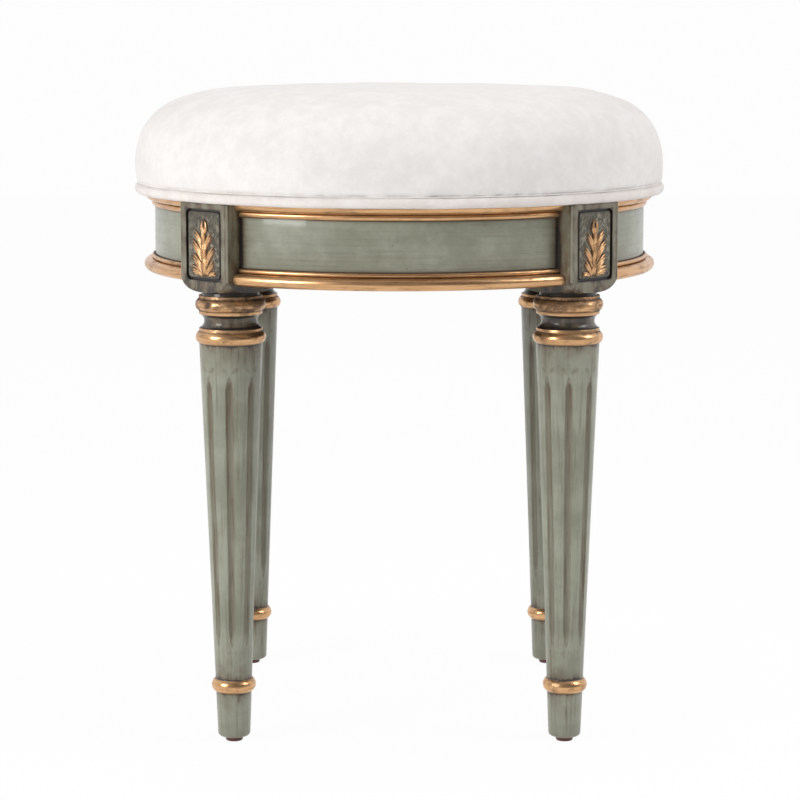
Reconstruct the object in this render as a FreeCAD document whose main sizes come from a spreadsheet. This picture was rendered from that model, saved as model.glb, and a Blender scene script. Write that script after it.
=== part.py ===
# Round vanity stool: four turned and fluted legs, a curved apron between their square blocks,
# gilt mouldings and leaf ornaments, and an upholstered seat screwed on from below.
# Millimetres, +Z up. The origin is on the floor, straight below the middle of the seat.
import FreeCAD, Part
import math
import os
import Sketcher

doc = FreeCAD.newDocument("VanityStool")
sheet = doc.addObject("Spreadsheet::Sheet", "Sizes")

# Driving sizes, each with the reason for it
DRIVING_SIZES = [
    # frame
    ("frame_height", 403.6),      # floor to the top of the apron, where the seat lies
    ("leg_circle", 175.2),        # stool axis to leg axis
    ("apron_face", 188.9),        # stool axis to the painted face of the apron
    ("apron_thickness", 20.0),
    ("apron_depth", 58.6),        # height of the apron's boards
    ("fit_gap", 0.2),             # glue line behind curved wood, and play round soft parts
    # square block of a leg and the turned shoulder below it
    ("block_width", 51.6),
    ("block_length", 52.6),
    ("block_edge_round", 1.2),
    ("shoulder_height", 12.5),
    ("neck_radius", 21.0),
    ("neck_length", 2.7),
    # turned rings below the neck
    ("collar_radius", 23.3),
    ("collar_height", 2.4),
    ("ring_radius", 25.9),
    ("ring_height", 8.9),
    ("cove_radius", 19.5),
    ("cove_height", 10.4),
    # tapered shaft and foot
    ("shaft_top_radius", 23.3),
    ("shaft_foot_radius", 13.6),
    ("foot_ring_radius", 16.5),
    ("foot_ring_height", 10.2),
    ("foot_height", 34.4),
    ("foot_top_radius", 13.3),
    ("foot_radius", 12.1),
    ("foot_round", 3.0),
    # flutes, cut with a round-nosed tool
    ("flute_count", 8),
    ("flute_top_margin", 24.7),
    ("flute_foot_margin", 29.4),
    ("flute_top_tool", 4.1),
    ("flute_foot_tool", 3.05),
    ("flute_depth", 1.5),
    # glide under each foot, held by one nail
    ("glide_height", 3.6),
    ("glide_top_radius", 7.3),
    ("glide_radius", 6.0),
    ("nail_radius", 1.3),
    ("nail_length", 18.0),
    ("nail_head_radius", 2.9),
    ("nail_head_height", 1.0),
    ("fastener_play", 0.1),       # round nails, and round screws and staples in the board
    # sunk panel on the outer face of each block
    ("recess_width", 38.0),
    ("recess_height", 52.0),
    ("recess_round", 4.0),
    ("recess_depth", 2.6),
    ("recess_top_margin", 4.0),
    ("panel_gap", 1.6),
    ("panel_thickness", 2.2),
    # leaf ornament on the panel
    ("leaf_height", 42.6),
    ("leaf_drop", 1.9),           # its middle below the middle of the panel
    ("leaf_spread", 27.0),
    ("leaf_thickness", 2.4),
    ("leaflet_width", 6.6),
    ("leaflet_pairs", 4),
    ("stem_width", 2.2),
    # applied mouldings round the apron
    ("base_torus_radius", 4.4),
    ("base_torus_reach", 8.5),
    ("bead_height", 3.6),
    ("base_bead_reach", 2.6),
    ("cornice_height", 4.7),
    ("cornice_reach", 7.3),
    ("cornice_foot_reach", 3.1),
    ("top_bead_height", 4.4),
    ("top_bead_reach", 2.3),
    ("bead_root_reach", 0.9),
    # dowels between the apron boards and the blocks
    ("dowel_radius", 4.0),
    ("dowel_length", 40.0),
    ("dowel_spacing", 28.0),
    ("dowel_play", 0.1),
    # cleats inside the apron, and the screws that hold the seat
    ("cleat_length", 70.0),
    ("cleat_width", 20.0),
    ("cleat_height", 18.0),
    ("screw_radius", 2.2),
    ("screw_bite", 8.0),
    ("screw_play", 0.3),
    ("screw_head_radius", 4.2),
    ("screw_head_height", 2.6),
    ("washer_radius", 7.0),
    ("washer_thickness", 1.0),
    # seat
    ("board_thickness", 12.0),
    ("cover_thickness", 1.5),
    ("hem_margin", 1.4),          # the turned hem ends this far outside the apron's inner face
    ("welt_radius", 3.9),
    ("cushion_height", 81.4),     # top of the apron to the crown
    ("cushion_radius", 204.0),    # widest part of the cushion
    ("cushion_pinch", 1.8),       # how far the side is drawn in above the welt
    ("cushion_belly", 15.0),      # height of the widest part above the welt
    ("cushion_side_height", 45.0),
    ("cushion_side_draw", 3.8),
    ("cushion_shoulder_height", 70.4),
    ("cushion_shoulder_draw", 29.2),
    ("crown_edge_radius", 127.0),
    ("crown_rise", 2.0),
    ("crown_flat_radius", 8.0),
    ("dust_cover_thickness", 0.8),
    ("staple_count", 12),
    ("staple_width", 10.0),
    ("staple_wire", 0.9),
    ("staple_leg", 6.0),
    ("staple_inset", 30.0),       # staples stand this far inside the hem
]


class Size:
    """A length with the sheet expression that it is bound to, so that sums stay bound as well."""

    def __init__(self, value, text):
        self.value = value
        self.text = text

    def __add__(self, other):
        other = as_size(other)
        return Size(self.value + other.value, "(%s + %s)" % (self.text, other.text))

    def __sub__(self, other):
        other = as_size(other)
        return Size(self.value - other.value, "(%s - %s)" % (self.text, other.text))

    def __mul__(self, other):
        other = as_size(other)
        return Size(self.value * other.value, "(%s * %s)" % (self.text, other.text))

    def __truediv__(self, other):
        other = as_size(other)
        return Size(self.value / other.value, "(%s / %s)" % (self.text, other.text))

    def __neg__(self):
        return Size(-self.value, "(0 - %s)" % self.text)


def as_size(thing):
    if isinstance(thing, Size):
        return thing
    return Size(float(thing), "%.6f" % thing)


def root(size):
    return Size(math.sqrt(size.value), "sqrt(%s)" % size.text)


def fill_sheet():
    sizes = {}
    for row, (name, value) in enumerate(DRIVING_SIZES, start=1):
        cell = "A%d" % row
        sheet.set(cell, str(value))
        sheet.setAlias(cell, name)
        sizes[name] = Size(float(value), "Sizes.%s" % name)
    doc.recompute()
    return sizes


size = fill_sheet()

DIAGONAL = math.sqrt(0.5)
DOWEL_SHARE = 0.4     # dowels stand this share of the board's thickness out from its inner face

# Rises of the cushion's arcs, as shares of their chords
SHOULDER_BOW = 0.098
SLOPE_BOW = 0.039
CROWN_BOW = 0.0036

# Layout of the leaf ornament, as shares of its height, or of its spread or a leaflet's width
STEM_SHARE = 0.72
TOP_ROOT = 0.66       # where the top leaflet leaves the stem, and how far up the pairs climb
FIRST_ROOT = 0.04
LEAFLET_RISE = 0.30
RISE_LOSS = 0.04      # lost towards the top
SPREAD_LOSS = 0.38    # lost towards the top
TOP_WIDTH = 1.2

# Places that several pieces share
frame_top = size["frame_height"]
apron_inside = size["apron_face"] - size["apron_thickness"]
apron_bottom = frame_top - size["apron_depth"]
half_block = size["block_width"] / 2
shoulder_top = frame_top - size["block_length"]
neck_top = shoulder_top - size["shoulder_height"]
foot_bottom = size["glide_height"]
foot_top = foot_bottom + size["foot_height"]
shaft_foot = foot_top + size["foot_ring_height"]
lower_ring = neck_top - size["neck_length"] - size["collar_height"] * 3 - size["cove_height"] \
    - size["ring_height"] * 2
recess_back = half_block - size["recess_depth"]
panel_front = recess_back + size["panel_thickness"]
recess_middle = frame_top - size["recess_top_margin"] - size["recess_height"] / 2
moulding_back = size["apron_face"] + size["fit_gap"]
dowel_line = apron_inside + size["apron_thickness"] * DOWEL_SHARE
screw_circle = apron_inside - size["cleat_width"] / 2
cleat_bottom = frame_top - size["cleat_height"]
board_bottom = frame_top + size["cover_thickness"]
board_top = board_bottom + size["board_thickness"]
welt_circle = size["cushion_radius"] + size["fit_gap"] - size["welt_radius"]
welt_inside = welt_circle - size["welt_radius"] - size["fit_gap"]
welt_top = frame_top + size["welt_radius"] * 2 + size["fit_gap"] * 2
board_radius = welt_inside - size["cover_thickness"] - size["fit_gap"]
hem_inside = apron_inside + size["hem_margin"]
staple_circle = hem_inside - size["staple_inset"]

LEG_TURNS = {"back_right": 45, "back_left": 135, "front_left": 225, "front_right": 315}
BAY_TURNS = {"back": 45, "left": 135, "front": 225, "right": 315}
CLEAT_TURNS = {"right": 0, "back": 90, "left": 180, "front": 270}
QUARTER_TURN = 90
FULL_TURN = 360
sub_parts = []


# Helpers for sketches and features
def new_body(label, many_solids=False):
    body = doc.addObject("PartDesign::Body", label)
    body.Label = label
    body.AllowCompound = many_solids
    sub_parts.append(body)
    return body


def bind(thing, prop, value):
    thing.setExpression(prop, as_size(value).text)


def origin_item(body, role):
    return [item for item in body.Origin.OriginFeatures if item.Role == role][0]


def new_sketch(body, plane, lift=None):
    sketch = body.newObject("Sketcher::SketchObject", body.Name + "_sketch")
    sketch.AttachmentSupport = (origin_item(body, plane), [""])
    sketch.MapMode = "FlatFace"
    if lift is not None:
        bind(sketch, "AttachmentOffset.Base.z", lift)
    return sketch


def pin(sketch, kind, geometry, end, value):
    """Holds one coordinate of a point in the sketch to a size."""
    value = as_size(value)
    index = sketch.addConstraint(Sketcher.Constraint(kind, -1, 1, geometry, end, value.value))
    sketch.setExpression("Constraints[%d]" % index, value.text)


def pin_point(sketch, geometry, end, point):
    pin(sketch, "DistanceX", geometry, end, point[0])
    pin(sketch, "DistanceY", geometry, end, point[1])


def vector(point):
    return FreeCAD.Vector(as_size(point[0]).value, as_size(point[1]).value, 0)


def outline(sketch, path):
    """Closes a path of (x, y) points. A step of four values is an arc: the point it passes, its end."""
    ends = [(step[-2], step[-1]) for step in path]
    links = []
    for number, step in enumerate(path):
        start = vector(ends[number - 1])
        end = vector(ends[number])
        if len(step) == 2:
            links.append((sketch.addGeometry(Part.LineSegment(start, end)), 1, 2, None))
            continue
        via = vector(step[:2])
        turns_left = (via - start).cross(end - via).z > 0
        if turns_left:
            links.append((sketch.addGeometry(Part.Arc(start, via, end)), 1, 2, step[:2]))
        else:
            links.append((sketch.addGeometry(Part.Arc(end, via, start)), 2, 1, step[:2]))
    for number, (geometry, first, last, via) in enumerate(links):
        before = links[number - 1]
        sketch.addConstraint(Sketcher.Constraint("Coincident", before[0], before[2], geometry, first))
        pin_point(sketch, geometry, last, ends[number])
        if via is not None:
            spot = sketch.addGeometry(Part.Point(vector(via)), True)
            pin_point(sketch, spot, 1, via)
            sketch.addConstraint(Sketcher.Constraint("PointOnObject", spot, 1, geometry))


def circles(sketch, centres, radius):
    for centre in centres:
        ring = sketch.addGeometry(Part.Circle(vector(centre), FreeCAD.Vector(0, 0, 1), radius.value))
        pin_point(sketch, ring, 3, centre)
        index = sketch.addConstraint(Sketcher.Constraint("Radius", ring, radius.value))
        sketch.setExpression("Constraints[%d]" % index, radius.text)


def axis_line(sketch, start, end):
    line = sketch.addGeometry(Part.LineSegment(vector(start), vector(end)), True)
    pin_point(sketch, line, 1, start)
    pin_point(sketch, line, 2, end)
    return "Axis0"


def rounded_rectangle(middle, width, height, corner):
    left = middle[0] - width / 2
    right = middle[0] + width / 2
    low = middle[1] - height / 2
    high = middle[1] + height / 2
    cut = corner * (1 - DIAGONAL)
    return [
        (right - corner, low), (right - cut, low + cut, right, low + corner),
        (right, high - corner), (right - cut, high - cut, right - corner, high),
        (left + corner, high), (left + cut, high - cut, left, high - corner),
        (left, low + corner), (left + cut, low + cut, left + corner, low),
    ]


def box_path(low, high):
    return [(high[0], low[1]), (high[0], high[1]), (low[0], high[1]), (low[0], low[1])]


def pad(body, sketch, length):
    feature = body.newObject("PartDesign::Pad", body.Name + "_pad")
    feature.Profile = sketch
    bind(feature, "Length", length)
    body.Tip = feature
    return feature


def pocket(body, sketch, length, away=False):
    feature = body.newObject("PartDesign::Pocket", body.Name + "_pocket")
    feature.Profile = sketch
    feature.Reversed = away
    bind(feature, "Length", length)
    body.Tip = feature
    return feature


def revolve(body, sketch, axis="V_Axis", angle=FULL_TURN, kind="Revolution"):
    feature = body.newObject("PartDesign::" + kind, body.Name + "_turned")
    feature.Profile = sketch
    feature.ReferenceAxis = (sketch, [axis])
    feature.Angle = angle
    body.Tip = feature
    return feature


def around(body, features, count):
    pattern = body.newObject("PartDesign::PolarPattern", body.Name + "_pattern")
    pattern.Originals = features
    pattern.Axis = (origin_item(body, "Z_Axis"), [""])
    pattern.Angle = FULL_TURN
    bind(pattern, "Occurrences", count)
    body.Tip = pattern
    return pattern


def set_on_leg(piece, turn):
    """A leg's own frame has +X pointing away from the stool's axis."""
    piece.Placement = FreeCAD.Placement(FreeCAD.Vector(), FreeCAD.Rotation(FreeCAD.Vector(0, 0, 1), turn))
    piece.setExpression("Placement.Base.x", "Sizes.leg_circle * cos(%d)" % turn)
    piece.setExpression("Placement.Base.y", "Sizes.leg_circle * sin(%d)" % turn)


def turn_about_stool(piece, turn):
    piece.Placement = FreeCAD.Placement(FreeCAD.Vector(), FreeCAD.Rotation(FreeCAD.Vector(0, 0, 1), turn))


# Legs
def turned_profile():
    """Half section of the turned leg from the foot up to the neck, in the leg's own frame."""
    foot, foot_wide = size["foot_radius"], size["foot_top_radius"]
    edge = size["foot_round"]
    collar, ring = size["collar_radius"], size["ring_radius"]
    band, ring_height = size["collar_height"], size["ring_height"]
    path = [
        (foot - edge, foot_bottom),
        (foot - edge * (1 - DIAGONAL), foot_bottom + edge * (1 - DIAGONAL), foot, foot_bottom + edge),
        (foot_wide, foot_top),
        (size["foot_ring_radius"], foot_top + size["foot_ring_height"] / 2,
         size["shaft_foot_radius"], shaft_foot),
        (size["shaft_top_radius"], lower_ring),
    ]
    level = lower_ring + ring_height
    path.append((ring, level - ring_height / 2, collar, level))
    level = level + band
    path.append((collar, level))
    level = level + size["cove_height"]
    path.append((size["cove_radius"], level - size["cove_height"] / 2, collar, level))
    level = level + band
    path.append((collar, level))
    level = level + ring_height
    path.append((ring, level - ring_height / 2, collar, level))
    level = level + band
    path.append((collar, level))
    inside_block = neck_top + size["shoulder_height"] / 2
    path += [(size["neck_radius"], level), (size["neck_radius"], inside_block), (0, inside_block)]
    path.append((0, foot_bottom))
    return path


def shaft_radius_at(height):
    taper = (size["shaft_top_radius"] - size["shaft_foot_radius"]) / (lower_ring - shaft_foot)
    return size["shaft_foot_radius"] + taper * (height - shaft_foot)


def flute_ends():
    """Centres of the round-nosed tool at the foot and at the top of a flute, with its radii."""
    low = shaft_foot + size["flute_foot_margin"]
    high = lower_ring - size["flute_top_margin"]
    low_tool, high_tool = size["flute_foot_tool"], size["flute_top_tool"]
    low_reach = shaft_radius_at(low) + low_tool - size["flute_depth"]
    high_reach = shaft_radius_at(high) + high_tool - size["flute_depth"]
    return (low_reach, low, low_tool), (high_reach, high, high_tool)


def flute_profile():
    (low_reach, low, low_tool), (high_reach, high, high_tool) = flute_ends()
    tip = (low_reach, low - low_tool)
    top = (high_reach, high + high_tool)
    path = [
        (low_reach - low_tool * DIAGONAL, low - low_tool * DIAGONAL, low_reach - low_tool, low),
        (high_reach - high_tool, high),
        (high_reach - high_tool * DIAGONAL, high + high_tool * DIAGONAL, top[0], top[1]),
        tip,
    ]
    return path, tip, top


def shoulder_profile():
    """The waste that is turned away below the square block."""
    corner = half_block / DIAGONAL
    neck = size["neck_radius"]
    wide = corner + size["ring_height"]
    below = neck_top - size["neck_length"]
    bulge = (neck + (corner - neck) * DIAGONAL, shoulder_top - size["shoulder_height"] * DIAGONAL)
    return [
        (neck, neck_top), (bulge[0], bulge[1], corner, shoulder_top),
        (wide, shoulder_top), (wide, below), (neck, below),
    ]


def make_leg(place, turn):
    body = new_body("leg_" + place)
    sketch = new_sketch(body, "XY_Plane", neck_top)
    square = rounded_rectangle((as_size(0), as_size(0)), size["block_width"], size["block_width"],
                               size["block_edge_round"])
    outline(sketch, square)
    pad(body, sketch, frame_top - neck_top)

    sketch = new_sketch(body, "XZ_Plane")
    outline(sketch, shoulder_profile())
    revolve(body, sketch, kind="Groove")

    sketch = new_sketch(body, "XZ_Plane")
    outline(sketch, turned_profile())
    revolve(body, sketch)

    sketch = new_sketch(body, "XZ_Plane")
    path, tip, top = flute_profile()
    outline(sketch, path)
    flute = revolve(body, sketch, axis_line(sketch, tip, top), kind="Groove")
    around(body, [flute], size["flute_count"])

    sketch = new_sketch(body, "YZ_Plane", half_block)
    outline(sketch, rounded_rectangle((as_size(0), recess_middle), size["recess_width"],
                                      size["recess_height"], size["recess_round"]))
    pocket(body, sketch, size["recess_depth"])

    # dowel holes in both side faces, and the nail hole in the foot
    hole = size["dowel_radius"] + size["dowel_play"]
    spots = [(dowel_line - size["leg_circle"], level) for level in dowel_levels()]
    for side, away in ((half_block, False), (-half_block, True)):
        sketch = new_sketch(body, "XZ_Plane", side)
        circles(sketch, spots, hole)
        pocket(body, sketch, size["dowel_length"] / 2, away)
    sketch = new_sketch(body, "XY_Plane", foot_bottom)
    circles(sketch, [(as_size(0), as_size(0))], size["nail_radius"] + size["fastener_play"])
    pocket(body, sketch, size["nail_length"], away=True)
    set_on_leg(body, turn)


def make_panel(place, turn):
    body = new_body("panel_" + place)
    gap = size["panel_gap"]
    sketch = new_sketch(body, "YZ_Plane", recess_back)
    outline(sketch, rounded_rectangle((as_size(0), recess_middle), size["recess_width"] - gap * 2,
                                      size["recess_height"] - gap * 2, size["recess_round"] - gap / 2))
    pad(body, sketch, size["panel_thickness"])
    set_on_leg(body, turn)


def leaflet(root_point, tip_point, width, thickness):
    """One pointed leaf: a lens of two arcs, from its root to its tip, in the plane of the panel."""
    middle = (root_point + tip_point) * 0.5
    across = (tip_point - root_point).cross(FreeCAD.Vector(1, 0, 0)).normalize() * (width / 2)
    sides = [Part.Arc(root_point, middle + across, tip_point).toShape(),
             Part.Arc(tip_point, middle - across, root_point).toShape()]
    return Part.Face(Part.Wire(sides)).extrude(FreeCAD.Vector(thickness, 0, 0))


def make_leaf(place, turn):
    ornament = doc.addObject("Part::Feature", "leaf_" + place)
    ornament.Label = "leaf_" + place
    front = panel_front.value
    height = size["leaf_height"].value
    low = recess_middle.value - size["leaf_drop"].value - height / 2
    spread = size["leaf_spread"].value / 2
    width = size["leaflet_width"].value
    thickness = size["leaf_thickness"].value
    stem = size["stem_width"].value / 2
    pairs = int(size["leaflet_pairs"].value)
    tip_root = FreeCAD.Vector(front, 0, low + height * TOP_ROOT)
    tip = FreeCAD.Vector(front, 0, low + height)
    solids = [Part.makeBox(thickness, stem * 2, height * STEM_SHARE, FreeCAD.Vector(front, -stem, low)),
              leaflet(tip_root, tip, width * TOP_WIDTH, thickness)]
    for pair in range(pairs):
        share = pair / pairs
        start = FreeCAD.Vector(front, 0, low + height * (FIRST_ROOT + TOP_ROOT * share))
        reach = spread * (1 - SPREAD_LOSS * share)
        rise = height * (LEAFLET_RISE - RISE_LOSS * share)
        for side in (-1, 1):
            end = start + FreeCAD.Vector(0, side * reach, rise)
            solids.append(leaflet(start, end, width, thickness))
    ornament.Shape = solids[0].multiFuse(solids[1:]).removeSplitter()
    sub_parts.append(ornament)
    set_on_leg(ornament, turn)


def make_glide(place, turn):
    body = new_body("glide_" + place)
    hole = size["nail_radius"] + size["fastener_play"]
    seat = size["nail_head_radius"] + size["fastener_play"]
    lip = size["nail_head_height"]
    sketch = new_sketch(body, "XZ_Plane")
    outline(sketch, [(size["glide_radius"], 0), (size["glide_top_radius"], foot_bottom),
                     (hole, foot_bottom), (hole, lip * 2), (seat, lip * 2), (seat, 0)])
    revolve(body, sketch)
    set_on_leg(body, turn)


def make_glide_nails():
    """One nail through each glide, its head sunk above the floor."""
    body = new_body("glide_nails", many_solids=True)
    centre = size["leg_circle"]
    head_low = size["nail_head_height"]
    head_high = head_low * 2
    tip = foot_bottom + size["nail_length"] - size["fastener_play"] - size["nail_radius"] * 2
    sketch = new_sketch(body, "XZ_Plane")
    shank = centre + size["nail_radius"]
    outline(sketch, [(centre + size["nail_head_radius"], head_low),
                     (centre + size["nail_head_radius"], head_high),
                     (shank, head_high), (shank, tip),
                     (centre, tip + size["nail_radius"] * 2), (centre, head_low)])
    nail = revolve(body, sketch, axis_line(sketch, (centre, head_low), (centre, tip)))
    around(body, [nail], as_size(len(LEG_TURNS)))
    turn_about_stool(body, LEG_TURNS["back_right"])


# Apron: boards and mouldings fill the bays between the blocks. In their own frame two legs lie on
# the X and Y axes, so a bay is what is past half a block on both.
def bay_sector(label, path, turn):
    body = new_body(label)
    sketch = new_sketch(body, "XZ_Plane")
    outline(sketch, path)
    revolve(body, sketch, angle=QUARTER_TURN)
    sketch = new_sketch(body, "XY_Plane", frame_top)
    far = size["apron_face"] + size["leg_circle"]
    zero = as_size(0)
    outline(sketch, [(far, zero), (far, half_block), (half_block, half_block), (half_block, far),
                     (zero, far), (zero, zero)])
    pocket(body, sketch, frame_top)
    turn_about_stool(body, turn)
    return body


def dowel_levels():
    middle = apron_bottom + size["apron_depth"] / 2
    return [middle - size["dowel_spacing"] / 2, middle + size["dowel_spacing"] / 2]


def make_apron(place, turn):
    face = size["apron_face"]
    body = bay_sector("apron_" + place, box_path((apron_inside, apron_bottom), (face, frame_top)), turn)
    hole = size["dowel_radius"] + size["dowel_play"]
    sketch = new_sketch(body, "XZ_Plane", -half_block)
    circles(sketch, [(dowel_line, level) for level in dowel_levels()], hole)
    pocket(body, sketch, size["dowel_length"] / 2)
    sketch = new_sketch(body, "YZ_Plane", half_block)
    circles(sketch, [(dowel_line, level) for level in dowel_levels()], hole)
    pocket(body, sketch, size["dowel_length"] / 2, away=True)


def make_base_moulding(place, turn):
    """A half round at the foot of the apron with a small bead above it."""
    face = size["apron_face"]
    torus = size["base_torus_radius"]
    bead = size["bead_height"]
    reach = face + size["base_torus_reach"]
    bead_low = apron_bottom + torus * 2
    bead_root = face + size["bead_root_reach"]
    path = [
        (reach - torus, apron_bottom),
        (reach, apron_bottom + torus, reach - torus, bead_low),
        (bead_root, bead_low),
        (face + size["base_bead_reach"], bead_low + bead / 2, bead_root, bead_low + bead),
        (moulding_back, bead_low + bead), (moulding_back, apron_bottom),
    ]
    bay_sector("base_moulding_" + place, path, turn)


def make_top_moulding(place, turn):
    """A bead below a cove that flares out under the seat."""
    face = size["apron_face"]
    cove = size["cornice_height"]
    bead = size["top_bead_height"]
    bead_root = face + size["bead_root_reach"]
    cove_low = frame_top - cove
    bead_low = cove_low - bead
    foot = face + size["cornice_foot_reach"]
    flare = size["cornice_reach"] - size["cornice_foot_reach"]
    path = [
        (bead_root, bead_low),
        (face + size["top_bead_reach"], bead_low + bead / 2, bead_root, cove_low),
        (foot, cove_low),
        (foot + flare * (1 - DIAGONAL), cove_low + cove * DIAGONAL, foot + flare, frame_top),
        (moulding_back, frame_top), (moulding_back, bead_low),
    ]
    bay_sector("top_moulding_" + place, path, turn)


def make_dowels():
    body = new_body("dowels", many_solids=True)
    pads = []
    play = size["dowel_play"]
    for side in (-1, 1):
        start = half_block * side + size["dowel_length"] / 2 - play
        sketch = new_sketch(body, "XZ_Plane", start)
        circles(sketch, [(dowel_line, level) for level in dowel_levels()], size["dowel_radius"])
        dowel = pad(body, sketch, size["dowel_length"] - play * 2)
        dowel.Reversed = True
        pads.append(dowel)
    around(body, pads, as_size(len(LEG_TURNS)))
    turn_about_stool(body, LEG_TURNS["back_right"])


def make_cleat(place, turn):
    body = new_body("cleat_" + place)
    back = apron_inside - size["fit_gap"]
    half = size["cleat_length"] / 2
    corner = root(back * back - half * half)
    front = apron_inside - size["cleat_width"]
    sketch = new_sketch(body, "XY_Plane", cleat_bottom)
    outline(sketch, [(corner, -half), (back, as_size(0), corner, half), (front, half), (front, -half)])
    pad(body, sketch, size["cleat_height"])
    sketch = new_sketch(body, "XY_Plane", frame_top)
    circles(sketch, [(screw_circle, as_size(0))], size["screw_radius"] + size["screw_play"])
    pocket(body, sketch, size["cleat_height"])
    turn_about_stool(body, turn)


# Fasteners of the seat
def screw_like(label, path):
    body = new_body(label, many_solids=True)
    sketch = new_sketch(body, "XZ_Plane")
    outline(sketch, path)
    axis = axis_line(sketch, (screw_circle, cleat_bottom), (screw_circle, frame_top))
    turned = revolve(body, sketch, axis)
    around(body, [turned], as_size(len(CLEAT_TURNS)))


def make_seat_screws():
    shank = screw_circle + size["screw_radius"]
    head = screw_circle + size["screw_head_radius"]
    under_head = cleat_bottom - size["washer_thickness"]
    head_low = under_head - size["screw_head_height"]
    tip = board_bottom + size["screw_bite"]
    chamfer = size["screw_radius"] / 2
    screw_like("seat_screws", [
        (head - chamfer, head_low), (head, head_low + chamfer), (head, under_head), (shank, under_head),
        (shank, tip - size["screw_radius"]), (screw_circle, tip), (screw_circle, head_low)])


def make_washers():
    hole = screw_circle + size["screw_radius"] + size["screw_play"]
    rim = screw_circle + size["washer_radius"]
    low = (hole, cleat_bottom - size["washer_thickness"])
    screw_like("seat_washers", box_path(low, (rim, cleat_bottom)))


def staple_legs(body, level, play):
    """The two square holes or legs of a staple, on the staple circle."""
    sketch = new_sketch(body, "XY_Plane", level)
    half = size["staple_width"] / 2
    wire = size["staple_wire"]
    circle = staple_circle
    for side in (-1, 1):
        middle = (half - wire / 2) * side
        outline(sketch, box_path((circle - wire / 2 - play, middle - wire / 2 - play),
                                 (circle + wire / 2 + play, middle + wire / 2 + play)))
    return sketch


def screw_holes(body, level, depth):
    sketch = new_sketch(body, "XY_Plane", level)
    circles(sketch, [(screw_circle, as_size(0))], size["screw_radius"] + size["fastener_play"])
    hole = pocket(body, sketch, depth, away=True)
    around(body, [hole], as_size(len(CLEAT_TURNS)))


# Seat
def bowed(start, end, bow):
    """The point that an arc from start to end passes, standing off its chord by a share of it."""
    across = ((end[1] - start[1]) * bow, (start[0] - end[0]) * bow)
    return ((start[0] + end[0]) / 2 + across[0], (start[1] + end[1]) / 2 + across[1])


def cushion_outline(inset):
    """The cushion's drawn-in side, shoulder and crown, from the welt up to the axis."""
    slant = inset * DIAGONAL
    crown = frame_top + size["cushion_height"] - inset
    belly = (size["cushion_radius"] - inset, welt_top + size["cushion_belly"])
    side = (belly[0] - size["cushion_side_draw"], frame_top + size["cushion_side_height"])
    shoulder = (size["cushion_radius"] - size["cushion_shoulder_draw"] - slant,
                frame_top + size["cushion_shoulder_height"] - slant)
    crown_edge = (size["crown_edge_radius"], crown - size["crown_rise"])
    crown_top = (size["crown_flat_radius"], crown)
    path = [belly + side]
    for start, end, bow in ((side, shoulder, SHOULDER_BOW), (shoulder, crown_edge, SLOPE_BOW),
                            (crown_edge, crown_top, CROWN_BOW)):
        path.append(bowed(start, end, bow) + end)
    return path + [(0, crown)]


def make_seat_board():
    body = new_body("seat_board")
    sketch = new_sketch(body, "XY_Plane", board_bottom)
    circles(sketch, [(as_size(0), as_size(0))], board_radius)
    pad(body, sketch, size["board_thickness"])
    screw_holes(body, board_bottom, size["screw_bite"])
    sketch = staple_legs(body, board_bottom, size["fastener_play"])
    slots = pocket(body, sketch, size["staple_leg"], away=True)
    around(body, [slots], size["staple_count"])


def make_foam():
    """Foam glued to the board, with a rim that hangs over the board's edge."""
    body = new_body("foam_pad")
    inset = size["cover_thickness"] + size["fit_gap"]
    rim = size["cushion_radius"] - size["cushion_pinch"] - inset
    rim_low = welt_top + inset
    inside = board_radius + size["fit_gap"]
    sketch = new_sketch(body, "XZ_Plane")
    outline(sketch, cushion_outline(inset) + [(0, board_top), (inside, board_top), (inside, rim_low),
                                              (rim, rim_low)])
    revolve(body, sketch)


def make_seat_cover():
    """Fabric shell over foam and board, its hem turned under the board."""
    body = new_body("seat_cover")
    skin = size["cover_thickness"]
    rim = size["cushion_radius"] - size["cushion_pinch"]
    hem = frame_top + skin
    sketch = new_sketch(body, "XZ_Plane")
    outline(sketch, cushion_outline(as_size(0)) + [(0, frame_top), (welt_inside, frame_top),
                                                   (welt_inside, welt_top), (rim, welt_top)])
    revolve(body, sketch)
    sketch = new_sketch(body, "XZ_Plane")
    shell = welt_inside - skin
    outline(sketch, cushion_outline(skin) + [(0, frame_top), (hem_inside, frame_top), (hem_inside, hem),
                                             (shell, hem), (shell, welt_top + skin),
                                             (rim - skin, welt_top + skin)])
    revolve(body, sketch, kind="Groove")


def make_welt():
    torus = doc.addObject("Part::Torus", "welt")
    torus.Label = "welt"
    bind(torus, "Radius1", welt_circle)
    bind(torus, "Radius2", size["welt_radius"])
    bind(torus, "Placement.Base.z", frame_top + size["fit_gap"] + size["welt_radius"])
    sub_parts.append(torus)


def make_dust_cover():
    body = new_body("dust_cover")
    low = board_bottom - size["dust_cover_thickness"]
    sketch = new_sketch(body, "XY_Plane", low)
    circles(sketch, [(as_size(0), as_size(0))], hem_inside - size["screw_play"])
    pad(body, sketch, size["dust_cover_thickness"])
    screw_holes(body, low, size["dust_cover_thickness"])
    sketch = staple_legs(body, low, size["fastener_play"])
    slots = pocket(body, sketch, size["dust_cover_thickness"], away=True)
    around(body, [slots], size["staple_count"])


def make_staples():
    body = new_body("staples", many_solids=True)
    low = board_bottom - size["dust_cover_thickness"]
    legs = pad(body, staple_legs(body, low, as_size(0)),
               size["dust_cover_thickness"] + size["staple_leg"] - size["fastener_play"])
    half = size["staple_width"] / 2
    wire = size["staple_wire"] / 2
    circle = staple_circle
    sketch = new_sketch(body, "XY_Plane", low - size["staple_wire"])
    outline(sketch, box_path((circle - wire, -half), (circle + wire, half)))
    crown = pad(body, sketch, size["staple_wire"])
    around(body, [legs, crown], size["staple_count"])


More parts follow.
